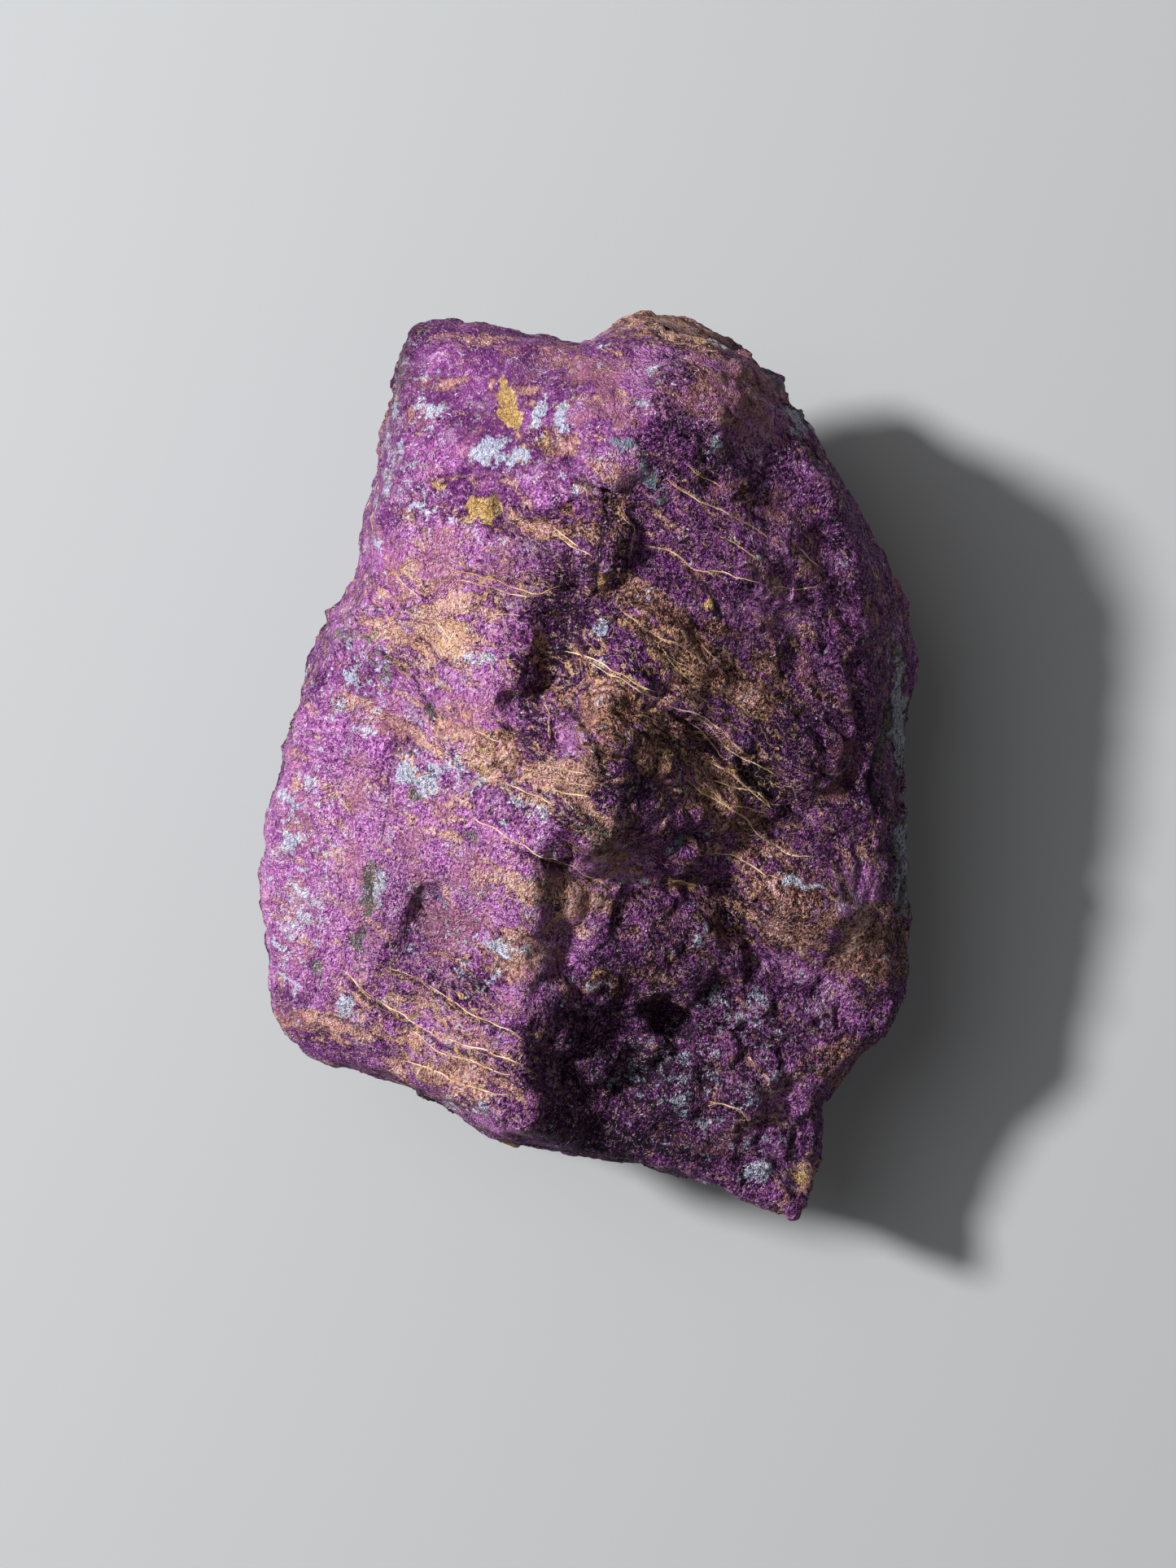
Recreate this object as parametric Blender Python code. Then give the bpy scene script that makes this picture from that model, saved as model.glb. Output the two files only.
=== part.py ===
"""Purpurite specimen: one broken lump of rock, lying on a natural flat face.

The lump is about 41 mm across (X), 56 mm long (Y) and 26 mm high (Z). The origin is on the
flat face that it rests on, under the middle of the lump.
"""

import math

import bmesh
import bpy
import numpy as np
from mathutils import Vector, noise

MM = 0.001

# Outline seen from above, in mm, clockwise from the top left corner
OUTLINE = (
    (-9.9, 28.0), (-7.0, 27.2), (-4.9, 26.7), (-0.9, 25.8), (1.3, 27.5), (2.9, 28.5),
    (4.2, 27.9), (7.8, 26.7), (9.9, 25.4), (11.1, 24.2), (12.1, 22.0), (13.9, 20.0),
    (16.1, 16.4), (17.7, 13.6), (19.1, 10.4), (19.9, 7.3), (20.0, 4.4), (19.7, 1.8),
    (19.7, -1.2), (20.3, -6.1), (20.2, -9.6), (19.9, -12.0), (20.0, -14.3), (19.1, -16.1),
    (18.1, -17.2), (15.1, -20.5), (14.5, -21.8), (14.5, -24.7), (14.0, -27.4), (13.2, -29.7),
    (10.8, -28.5), (8.2, -27.2), (4.7, -25.9), (0.0, -24.6), (-3.2, -23.9), (-6.2, -23.3),
    (-9.3, -21.3), (-12.3, -19.9), (-16.0, -19.0), (-17.7, -17.6), (-19.3, -16.2),
    (-20.1, -14.6), (-19.9, -12.2), (-20.3, -10.0), (-20.3, -7.1), (-19.5, -2.3),
    (-18.9, 1.1), (-18.0, 4.0), (-16.4, 7.8), (-15.3, 9.9), (-14.4, 12.1), (-14.3, 14.6),
    (-13.2, 18.2), (-12.4, 22.2), (-12.4, 24.1), (-12.0, 26.0), (-11.3, 27.4),
)

# Planes of the upper side: through a point (x, y, z), with slopes along x and y
LEFT_FLANK = (
    ((0.9, 14.5, 26.0), 0.42, 0.04),
    ((-4.1, -7.4, 23.0), 0.42, 0.24),
    ((0.9, 14.5, 26.4), 0.40, -0.30),
)
RIGHT_FLANK = (
    ((0.4, 9.3, 25.7), -0.48, 0.13),
    ((8.0, 16.0, 23.4), -0.62, -0.05),
    ((0.4, -1.0, 25.2), -0.45, 0.73),
)
LOWER_RIGHT = (
    ((-3.9, -14.0, 21.4), -0.36, 0.21),
    ((0.0, -2.0, 22.5), -0.36, -0.20),
)

# Soft humps of the upper side: x, y, half length, half width, turn in degrees, height
HUMPS = {
    "hump between the hollows": (3.0, -10.6, 3.4, 2.6, 60.0, 0.5),
    "bulge at the right edge": (13.4, -8.8, 5.5, 3.8, -30.0, 1.6),
    "spur between trough and scoop": (0.9, 0.6, 3.8, 1.8, 80.0, 1.3),
    "swell of the right face": (9.5, 11.5, 8.0, 5.0, -55.0, 1.0),
    "swell of the left face": (-10.5, -5.0, 9.0, 6.0, 65.0, 0.8),
    "round patch by the crest": (0.8, 16.4, 2.6, 1.9, 20.0, 0.7),
    "lump low on the right": (9.6, -20.4, 3.8, 2.8, 40.0, 0.7),
    "lump at the crest's top": (3.7, 20.8, 2.4, 1.0, 82.0, 0.6),
    "saddle at the top": (-1.4, 24.0, 3.2, 2.2, 0.0, -1.5),
}

# Sharp-rimmed hollows of the upper side, in the same terms, with their depth
SCOOPS = {
    "upper trough beside the crest": (-0.8, 7.4, 4.6, 3.1, 42.0, 1.9),
    "lower trough beside the crest": (-2.2, 3.8, 4.4, 3.2, 80.0, 2.9),
    "scoop in the right face": (6.9, 0.8, 9.5, 3.6, -42.0, 1.1),
    "valley left of the bulge": (7.6, -9.4, 4.4, 2.0, -50.0, 1.3),
    "deep hole": (4.4, -15.2, 1.9, 1.5, -10.0, 2.4),
    "triangular pit": (5.2, -4.1, 1.3, 0.8, 20.0, 1.8),
    "hollow low on the right": (3.3, -18.6, 2.6, 1.7, 15.0, 0.9),
    "dark hollow at the top": (9.4, 21.8, 1.5, 1.1, -30.0, 1.3),
    "pit low on the left": (-9.4, -8.8, 2.0, 1.0, 80.0, 0.7),
    "hollow at the right edge": (14.6, -2.4, 3.4, 2.0, 70.0, 0.5),
    "hollow high on the right": (12.2, 8.0, 4.2, 2.0, -60.0, 0.5),
}

# Ledges: start and end of the edge, with the low side on the right hand, then how far the
# surface drops, over what width, and how far beyond the edge the drop fades out
LEDGES = {
    "steep ground below the crest": ((-3.9, -27.0), (-3.9, -5.0), 1.8, 2.4, 12.0),
    "lowest ground by the crest": ((-3.4, -27.0), (-3.4, -14.5), 1.2, 2.4, 7.0),
    "broken plate": ((0.2, 9.2), (0.8, 15.6), 1.1, 0.5, 2.2),
    "second step": ((2.1, 11.1), (1.9, 14.7), 0.6, 0.5, 2.0),
    "edge across the left face": ((-8.1, 13.6), (0.5, 15.5), 0.6, 0.5, 3.0),
    "small crack on the left": ((-9.5, 2.6), (-12.3, 6.2), 0.5, 0.5, 2.0),
    "layer in the scoop": ((2.5, 4.4), (8.0, 0.8), 0.7, 0.5, 1.8),
    "second layer in the scoop": ((1.2, 1.0), (6.8, -3.4), 0.6, 0.5, 1.8),
    "lip of the right face": ((16.4, 8.2), (15.2, -1.5), -0.6, 0.5, 1.6),
}
LEDGE_END = 2.0
LEDGE_HALF = 0.5

# How the rims of hollows and the edges of ledges wander: reach in mm, waves along and across
WANDER = ((0.45, 0.9, 0.2), (0.25, 2.2, 1.3))

# Steep faces: a point (x, y, z), the way it faces in degrees, and its tilt above level
FACES = {
    "bevel at the top": ((4.0, 23.4, 24.0), 82.0, 42.0),
    "bevel at the top left": ((-5.0, 25.0, 19.8), 98.0, 40.0),
    "right side": ((17.4, 0.0, 15.9), 0.0, 21.0),
    "upper right side": ((14.8, 16.6, 17.8), 33.0, 22.0),
    "under the left": ((-19.8, -6.0, 11.5), 192.0, -34.0),
    "under the upper left": ((-14.6, 13.0, 13.5), 160.0, -24.0),
    "under the top": ((-2.0, 26.6, 15.0), 96.0, -30.0),
    "under the upper right": ((14.4, 19.0, 12.5), 38.0, -38.0),
    "under the right": ((20.2, -3.0, 9.5), -4.0, -22.0),
    "under the lower right": ((17.8, -19.8, 8.5), 318.0, -38.0),
    "under the bottom": ((3.0, -25.6, 7.0), 264.0, -28.0),
    "under the lower left": ((-16.0, -18.8, 10.0), 228.0, -36.0),
    "chip under the left": ((-14.5, -2.0, 3.0), 204.0, -56.0),
    "chip under the right": ((14.0, 6.5, 2.8), 22.0, -60.0),
    "chip under the top": ((-3.0, 21.0, 3.6), 104.0, -58.0),
}

# The sides lean in above and below the level where the lump is widest, which drops to +X
WIDEST_LEVEL = 12.0
WIDEST_DROP = 0.12
LEAN_ABOVE = 0.22
LEAN_BELOW = 0.24

# Roughness: size of the lumps and how far they stand out, in mm
ROUGHNESS = ((7.0, 0.55), (2.6, 0.30), (1.2, 0.12))
FLAT_MARGIN = 1.2

# The globe that the surface starts from, and the flat disc inside it that it grows out of
CENTRE = np.array((0.0, -0.5, 11.0))
GLOBE = np.array((20.0, 27.0, 13.0))
GLOBE_DETAIL = 7
DISC = 0.65
GROWTH_STEP = 0.04
GROWTH_STEPS = 60
HALVINGS = 12
FAR_ABOVE = 100.0
TRIANGLES = 9600
BASE_CUT = 0.15

# How widely the edges between faces are rounded, in mm
EDGE_BLEND = 0.35
RIM_BLEND = 0.6
FACE_BLEND = 0.5

ROCK_COLOUR = (0.105, 0.035, 0.125, 1.0)
ROCK_ROUGHNESS = 0.85


def soft_min(a, b, blend=EDGE_BLEND):
    """The lower of two heights, with the crease between them rounded."""
    overlap = np.maximum(blend - np.abs(a - b), 0.0) / blend
    return np.minimum(a, b) - overlap * overlap * blend / 4


def soft_max(a, b, blend=EDGE_BLEND):
    """The higher of two heights, with the crease between them rounded."""
    return -soft_min(-a, -b, blend)


def outline_distance(x, y):
    """Distance to the outline seen from above, negative inside it."""
    nearest = np.full(x.shape, np.inf)
    inside = np.zeros(x.shape, bool)
    for (ax, ay), (bx, by) in zip(OUTLINE, OUTLINE[1:] + OUTLINE[:1]):
        ex, ey = bx - ax, by - ay
        along = ((x - ax) * ex + (y - ay) * ey) / (ex * ex + ey * ey)
        along = np.clip(along, 0.0, 1.0)
        nearest = np.minimum(nearest, np.hypot(x - ax - along * ex, y - ay - along * ey))
        spans = (ay > y) != (by > y)
        inside ^= spans & (x < ax + ex * (y - ay) / (ey or 1.0))
    return np.where(inside, -nearest, nearest)


def within_oval(x, y, centre_x, centre_y, half_length, half_width, turn):
    """One in the middle of an oval, falling to nought at its rim."""
    c, s = math.cos(math.radians(turn)), math.sin(math.radians(turn))
    u = ((x - centre_x) * c + (y - centre_y) * s) / half_length
    v = ((y - centre_y) * c - (x - centre_x) * s) / half_width
    return np.maximum(1.0 - u * u - v * v, 0.0)


def ledge(x, y, start, end, drop, width, reach):
    """A step down on the right hand of the edge, which fades out beyond it."""
    ex, ey = end[0] - start[0], end[1] - start[1]
    length = math.hypot(ex, ey)
    along = ((x - start[0]) * ex + (y - start[1]) * ey) / length
    below = ((x - start[0]) * ey - (y - start[1]) * ex) / length
    ends = np.clip(np.minimum(along, length - along) / LEDGE_END + LEDGE_HALF, 0.0, 1.0)
    fade = np.exp(-np.maximum(below - width, 0.0) / reach)
    return -drop * ends * np.clip(below / width, 0.0, 1.0) * fade


def wander(x, y):
    """Places shifted a little, so that rims and edges run unevenly."""
    shift_x = sum(reach * np.sin(along * y + across * x) for reach, along, across in WANDER)
    shift_y = sum(reach * np.cos(along * x - across * y) for reach, along, across in WANDER)
    return x + shift_x, y + shift_y


def lowest_plane(x, y, planes):
    """Height of the lowest of several planes."""
    height = np.full(x.shape, FAR_ABOVE)
    for (px, py, pz), along_x, along_y in planes:
        height = soft_min(height, pz + along_x * (x - px) + along_y * (y - py))
    return height


def upper_side(x, y):
    """Height of the upper side over a place seen from above."""
    right = soft_max(lowest_plane(x, y, RIGHT_FLANK), lowest_plane(x, y, LOWER_RIGHT))
    height = soft_min(lowest_plane(x, y, LEFT_FLANK), right)
    x, y = wander(x, y)
    for *oval, rise in HUMPS.values():
        height = height + rise * within_oval(x, y, *oval) ** 2
    deepest = np.zeros(x.shape)
    for *oval, depth in SCOOPS.values():
        deepest = np.maximum(deepest, depth * within_oval(x, y, *oval))
    for edge in LEDGES.values():
        height = height + ledge(x, y, *edge)
    return height - deepest


def sides(x, y, z):
    """Distance to the leaning sides, negative inside them."""
    widest = WIDEST_LEVEL - WIDEST_DROP * x
    above = np.maximum(z - widest, 0.0)
    below = np.maximum(widest - z, 0.0)
    return outline_distance(x, y) + LEAN_ABOVE * above + LEAN_BELOW * below


def outside_by(points):
    """How far points lie outside the lump, in mm, negative inside it."""
    x, y, z = points.T
    outside = soft_max(z - upper_side(x, y), sides(x, y, z), RIM_BLEND)
    for (px, py, pz), facing, tilt in FACES.values():
        level = math.cos(math.radians(tilt))
        nx = level * math.cos(math.radians(facing))
        ny = level * math.sin(math.radians(facing))
        nz = math.sin(math.radians(tilt))
        beyond = nx * (x - px) + ny * (y - py) + nz * (z - pz)
        outside = soft_max(outside, beyond, FACE_BLEND)
    return np.maximum(outside, -z)


def grown(globe, growth):
    """Where points of the globe get to as they grow out of the disc inside it."""
    share = growth[:, None] * np.array((1.0 - DISC, 1.0 - DISC, 1.0))
    return CENTRE + globe * GLOBE * (share + np.array((DISC, DISC, 0.0)))


def grow_to_surface(globe):
    """The points of the globe, each moved out to where it leaves the lump."""
    growth = np.zeros(len(globe))
    inside = np.arange(len(globe))
    for _ in range(GROWTH_STEPS):
        ahead = grown(globe[inside], growth[inside] + GROWTH_STEP)
        inside = inside[outside_by(ahead) < 0.0]
        growth[inside] += GROWTH_STEP
    near, far = growth, growth + GROWTH_STEP
    for _ in range(HALVINGS):
        middle = (near + far) / 2
        within = outside_by(grown(globe, middle)) < 0.0
        near = np.where(within, middle, near)
        far = np.where(within, far, middle)
    return grown(globe, near)


def roughen(bm):
    """Push the surface in and out with broken lumps."""
    bm.normal_update()
    for vert in bm.verts:
        push = 0.0
        for size, height in ROUGHNESS:
            push += height * noise.noise(vert.co / size, noise_basis="PERLIN_NEW")
        vert.co += vert.normal * push * min(max(vert.co.z / FLAT_MARGIN, 0.0), 1.0)


def rough_lump():
    """The whole surface with many small faces, in mm."""
    bm = bmesh.new()
    bmesh.ops.create_icosphere(bm, subdivisions=GLOBE_DETAIL, radius=1.0)
    globe = np.array([vert.co for vert in bm.verts])
    for vert, point in zip(bm.verts, grow_to_surface(globe)):
        vert.co = point
    roughen(bm)
    mesh = bpy.data.meshes.new("rough_lump")
    bm.to_mesh(mesh)
    bm.free()
    return mesh


def with_fewer_faces(mesh):
    """The same surface with fewer faces where it is nearly flat."""
    fine = bpy.data.objects.new("rough_lump", mesh)
    bpy.context.scene.collection.objects.link(fine)
    thin = fine.modifiers.new("fewer faces", "DECIMATE")
    thin.ratio = TRIANGLES / len(mesh.polygons)
    evaluated = fine.evaluated_get(bpy.context.evaluated_depsgraph_get())
    coarse = bpy.data.meshes.new_from_object(evaluated)
    bpy.data.objects.remove(fine, do_unlink=True)
    bpy.data.meshes.remove(mesh)
    return coarse


def cut_base(bm):
    """Cut the resting face exactly flat."""
    everything = bm.verts[:] + bm.edges[:] + bm.faces[:]
    cut = bmesh.ops.bisect_plane(
        bm, geom=everything, plane_co=(0, 0, BASE_CUT), plane_no=(0, 0, -1), clear_outer=True
    )
    rim = [item for item in cut["geom_cut"] if isinstance(item, bmesh.types.BMEdge)]
    bmesh.ops.holes_fill(bm, edges=rim, sides=0)
    bmesh.ops.triangulate(bm, faces=bm.faces)


def rock_material():
    material = bpy.data.materials.new("purpurite")
    material.use_nodes = True
    shader = material.node_tree.nodes["Principled BSDF"]
    shader.inputs["Base Color"].default_value = ROCK_COLOUR
    shader.inputs["Roughness"].default_value = ROCK_ROUGHNESS
    shader.inputs["Metallic"].default_value = 0.0
    return material


def make_lump():
    mesh = with_fewer_faces(rough_lump())
    bm = bmesh.new()
    bm.from_mesh(mesh)
    cut_base(bm)
    points = np.array([vert.co for vert in bm.verts])
    middle = (points.min(axis=0) + points.max(axis=0)) / 2
    bmesh.ops.translate(bm, vec=Vector((-middle[0], -middle[1], -BASE_CUT)), verts=bm.verts)
    bmesh.ops.scale(bm, vec=Vector((MM, MM, MM)), verts=bm.verts)
    bm.to_mesh(mesh)
    bm.free()
    mesh.name = "purpurite_stone"
    mesh.materials.append(rock_material())
    return bpy.data.objects.new("purpurite_stone", mesh)


def main():
    for item in list(bpy.data.objects):
        bpy.data.objects.remove(item, do_unlink=True)
    collection = bpy.data.collections.new("purpurite_specimen")
    bpy.context.scene.collection.children.link(collection)
    collection.objects.link(make_lump())


main()
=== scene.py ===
import math

import bmesh
import bpy
import numpy as np
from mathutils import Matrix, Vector, noise
from mathutils.bvhtree import BVHTree


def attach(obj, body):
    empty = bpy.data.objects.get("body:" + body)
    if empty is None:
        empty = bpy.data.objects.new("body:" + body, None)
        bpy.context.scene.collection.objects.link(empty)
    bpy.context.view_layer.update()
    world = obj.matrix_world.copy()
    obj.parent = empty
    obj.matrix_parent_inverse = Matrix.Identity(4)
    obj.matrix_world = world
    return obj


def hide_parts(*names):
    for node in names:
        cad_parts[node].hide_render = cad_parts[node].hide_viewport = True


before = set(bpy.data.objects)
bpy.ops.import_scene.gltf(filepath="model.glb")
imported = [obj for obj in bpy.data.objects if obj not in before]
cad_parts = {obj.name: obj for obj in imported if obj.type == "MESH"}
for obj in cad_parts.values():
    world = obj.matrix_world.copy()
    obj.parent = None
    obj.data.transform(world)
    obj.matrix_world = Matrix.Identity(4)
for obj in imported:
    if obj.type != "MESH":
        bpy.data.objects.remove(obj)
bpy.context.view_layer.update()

MM = 0.001
STONE = "purpurite_stone"

# The photo's size and scale in pixels, and the pixel over the part's origin
PHOTO_SIZE = (1445, 1927)
PX_PER_MM = 20.0
ORIGIN_PX = (725.9, 946.0)

# The camera's height, the height at which the photo's scale holds, and the sensor, in mm
CAMERA_HEIGHT = 234.0
SCALE_LEVEL = 14.0
SENSOR = 36.0

# The lights' distance in metres, and the direction, size and power in watts of each
LIGHT_DISTANCE = 0.6
KEY_LIGHT = ((-0.69, 0.25, 0.70), 0.08, 5.4)
SKY_LIGHT = ((-0.45, 0.25, 0.85), 0.4, 0.6)
FILL_STRENGTH = 0.125
FILL_COLOUR = (1.0, 1.0, 1.0, 1.0)
FLOOR_SIZE = 1.6
FLOOR_ROUGHNESS = 0.9

# The fine surface in mm. Its relief sets in over a margin above the resting face
CELL = 0.2
TRIANGLE_LIMIT = 196000
WELD = 0.002
SMOOTHING = 0.5
SMOOTHING_ROUNDS = 5
BASE_MARGIN = 0.8

# How a seed shifts a noise, and how its octaves follow each other
SEED_SHIFT = np.array((17.3, 9.1, 4.7))
NOISE_LOSS = 0.9
NOISE_STEP = 2.1

# How far a face looks up when the photo begins to show it, and when it shows it fully
SHOWN_SLOPES = (-0.05, 0.25)

# Bands run along circles about a pixel far to the lower left, and wander: sizes and reaches in mm
BAND_CENTRE_PX = (142.0, 1956.0)
BAND_RADIUS = 50.0
BAND_WANDER = ((9.0, 1.3), (2.6, 0.4))

# How the edges of ovals and lines stray: reach in pixels and size in mm
TRUE_STRAY = ((3, 0.9),)
ZONE_STRAY = ((10, 2.4), (9, 0.9))
TRUE_STRAY_SEEDS = (15, 16)
ZONE_STRAY_SEEDS = (11, 13)
PIT_STRAY_SHARE = 0.4

# What worn places lose of their relief, and the height of crusts and stains in mm
WORN_LOSS = 0.4
PALE_HEIGHT = 0.07
TEAL_HEIGHT = 0.05
GREEN_DEPTH = 0.08

# The kinds of relief. The chips' tilts are looked up far apart, so that neighbours differ
CRUMB_REACH = 0.8
CHIP_STRETCH = 1.5
CHIP_SPREAD = 71.0
RIDGE_SLOPE = 2.0
FIBRE_STRETCH = 5.0
FURROW_STRETCH = 4.0
FURROW_SLOPE = 2.5
LAYER_SWAY = 0.5
LAYER_SWAY_SIZE = 3.0
LAYER_STRETCH = 3.0
LAYER_RISE = (0.05, 0.95)
POCK_LEVELS = (0.42, 0.75)

# The way of the golden veins' threads: steps and wiggle in mm
THREAD_STEP = 0.22
THREAD_WIGGLE = 0.16
THREAD_WIGGLE_SIZE = 0.9
THREAD_WIGGLE_SEED = 7

# Their shape, mostly in shares of the half width that each is given
THREAD_SIDES = 6
THREAD_WIDTH = 0.8
THREAD_SWELL = 1.2
THREAD_SWELL_SIZE = 0.9
THREAD_END = 0.25
THREAD_TAPER_STEPS = 4
THREAD_LIFT = 0.25
THREAD_FLATNESS = 0.6

# A vein's paint in mm: its farthest reach, its taper, and where it is full and ends
VEIN_REACH = 1.0
VEIN_TAPER = 0.5
VEIN_NEAR = 0.14
VEIN_FAR = 0.24


def colour(red, green, blue):
    """A colour given as it looks on a screen, as the shader needs it."""
    def linear(part):
        part = part / 255
        return part / 12.92 if part <= 0.04045 else ((part + 0.055) / 1.055) ** 2.4
    return (linear(red), linear(green), linear(blue), 1.0)


# Each ground has its colours from painted shade in the gaps between grains to painted light on their
# lit faces
VIOLET_GROUND = (colour(20, 3, 24), colour(108, 38, 115), colour(178, 116, 174))
BRIGHT_GROUND = (colour(112, 48, 114), colour(175, 90, 173), colour(228, 166, 226))
BLOOM_GROUND = (colour(136, 94, 136), colour(186, 142, 186), colour(240, 218, 240))
BRONZE_GROUND = (colour(26, 13, 10), colour(114, 71, 64), colour(208, 152, 138))
TAN_GROUND = (colour(144, 90, 92), colour(212, 150, 146), colour(252, 210, 204))
OCHRE_GROUND = (colour(140, 102, 60), colour(214, 168, 104), colour(240, 208, 150))
CRUST_GROUND = (colour(136, 138, 164), colour(204, 213, 240), colour(244, 247, 255))
ROSE = colour(196, 128, 136)
TEAL = colour(128, 158, 168)
GREY_GREEN = colour(124, 126, 112)
# The green stain's colour darkened as painted shade in the gaps
GREEN_IN_GAP_SHADE = colour(44, 46, 32)
GOLD = colour(232, 186, 134)
CREAM = colour(248, 220, 186)
CURL = colour(244, 212, 204)
DULL_GOLD = colour(178, 134, 100)
# Painted shadow for the deepest gaps and the cracks
SHADOW_BLACK = colour(16, 8, 16)
GLINT = colour(225, 222, 235)
SHEEN = colour(218, 172, 216)
FLOOR_COLOUR = colour(176, 178, 180)

# Noises of the stone's material: lumps in a mm, detail and roughness
NOISES = {
    "mottle": (0.9, 3.0, 0.6),
    "lead": (0.5, 1.0, 0.55),
    "grain": (5.2, 2.0, 1.0),
    "grit": (2.4, 4.0, 0.72),
    "large": (0.45, 4.0, 0.6),
    "curls": (1.5, 2.0, 0.7),
}
NOISE_MIDDLE = 0.5
MOTTLE_SWAY = 1.1

# Strokes: turn from the bands in degrees, how many to a mm along and across them, and a shift
STROKES = {
    "level": (3, 2.0, 7.0, 3.1),
    "slanted": (62, 2.6, 6.8, 7.7),
    "ribbon": (0, 0.30, 1.1, 9.2),
    "threads": (2, 0.25, 1.1, 33.1),
    "hairs": (-14, 0.5, 2.0, 51.7),
}
CRUMB_STROKES = (62, 4.8, 7.0, 5.3)
STROKE_NOISE = (1.0, 2.0, 0.6)
SHIFT_WAY = (1.0, 2.7, 1.3)

# Sums of patterns, of fields painted on the stone and of other sums: a start, and weights
SUMS = {
    "fine": (-3.33, {"weave": 4.8, "gap": -0.7, "shade": 0.5, "grain": 2.0}),
    "grains": (-4.2, {"fine": 1.0, "grain": 7.4, "shade": 1.0}),
    "sharpness": (0.70, {"worn": -0.38, "rough": 0.28}),
    # The grains' tone, which paints their shading: painted shade in the gaps where low, painted
    # light on their faces where high, and more painted shade where the surface is rough
    "tone": (-1.15, {"sharp_grains": 1.0, "grit": 1.6, "mottle": 1.2,
                     "bright_and_painted_light": 0.3, "deep_and_painted_shade": -0.8, "rough": -0.3}),
    "darkness": (1.0, {"worn": -0.5}),
    "hue": (-4.38, {"ribbon": 7.2, "tinge": 0.2}),
    "patches": (-1.72, {"large_green": 2.3, "mottle": 1.1}),
    "patchiness": (1.0, {"worn": -0.65}),
    "bend": (-0.15, {"vein": 1.0, "grain": 0.30}),
    "bumps": (0.0, {"fine": 1.0, "grit": 1.6}),
}

# Where each look sets in: a sum as above, the levels between which it does, and its strength
RULES = {
    "slanted": (0.0, {"lead": 1.0}, 0.43, 0.57),
    # Painted light on the grains' lit faces
    "light": (0.0, {"tone": 1.0}, 0.25, 1.1),
    "brown": (0.0, {"hue": 1.0, "bronze": 1.8, "tan": 1.8, "deep_and_painted_shade": -0.9, "rose": 0.35}, -0.50, 0.70),
    "light brown": (0.0, {"hue": 1.0, "tan": 1.6, "bright_and_painted_light": 0.5}, 0.0, 1.0),
    # A lighter violet, partly painted light where the bright zones reach; where it doesn't set in,
    # the darker violet is partly painted shade
    "lighter_violet_and_painted_light": (0.0, {"worn_patches": 1.0, "bright_and_painted_light": 1.25, "deep_and_painted_shade": -0.4}, 0.0, 0.6),
    "bloom": (0.0, {"large_red": 1.0, "pale": 0.10}, 0.56, 0.65, 0.7),
    "rose": (-2.3, {"rose": 1.0, "bright_and_painted_light": 0.4, "large_blue": 4.0}, 0.0, 0.6, 0.45),
    "ochre": (-0.5, {"ochre": 1.0, "grit": 1.0}, 0.34, 0.5),
    "green": (-1.2, {"green": 1.0, "grit_green": 2.4}, 0.42, 0.70, 0.9),
    "crust": (-2.05, {"pale": 1.05, "grit_blue": 2.3, "mottle_blue": 1.8}, 0.36, 0.60, 0.85),
    "teal": (-1.2, {"teal": 1.0, "grit_blue": 2.4}, 0.42, 0.66, 0.8),
    # Painted shadow in the deepest gaps between grains
    "gap_shadow": (0.0, {"tone": 1.0}, -0.6, -1.2, 0.75),
    # Painted shade in the cracks
    "crack": (-0.5, {"crack": 1.0, "grit": 1.0}, 0.35, 0.75, 0.65),
    "curls": (0.0, {"curls_green": 1.0, "bright_and_painted_light": 0.12}, 0.50, 0.62, 0.7),
    "hairs": (-1.5, {"tan": 1.0, "grit_green": 3.0}, 0.2, 0.8, 0.7),
    "threads": (-1.9, {"fibrous": 1.0, "grit_red": 4.0}, 0.2, 1.0, 0.8),
    "glint picked": (0.0, {"pick": 1.0}, 0.960, 0.968),
    "glint middle": (0.0, {"gap": 1.0}, 0.42, 0.30),
    "bumpy": (0.0, {"rough": 1.0}, -0.7, 0.8),
}
# The tone's levels between which painted shade sets in, in the gaps between grains
GAP_SHADE_LEVELS = (0.05, -0.6)
GLINT_STRENGTH = 0.8

# Thin lines: how many levels of the strokes they follow, and their width in levels
THREAD_LINES = (5.0, 0.12)
HAIR_LINES = (4.0, 0.14)
LINE_CORE = 1 / 3

# Thin lines along one level: the level, and how far from it they end and are full
CURL_LINE = (NOISE_MIDDLE, 0.018, 0.004)
VEIN_LINE = (0.0, 0.05, 0.015)

# How the stone's surface takes the light
STONE_SURFACE = {
    "Specular IOR Level": 0.2,
    "Sheen Weight": 0.03,
    "Sheen Roughness": 0.45,
    "Sheen Tint": SHEEN,
}
STONE_ROUGHNESS = 0.75
GLINT_ROUGHNESS = 0.25
STONE_BUMP = (1.0, 0.00027)

# The veins' material: noises by lumps in a metre, and levels between which its colours change
VEIN_GRAIN = (3500.0, 2.0, 0.55)
VEIN_STRETCHES = (420.0, 2.0, 0.55)
CREAM_LEVELS = (0.30, 0.55)
DULL_LEVELS = (0.50, 0.62)
VEIN_ROUGHNESS = 0.6
VEIN_BUMP = (0.6, 0.00006)
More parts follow.
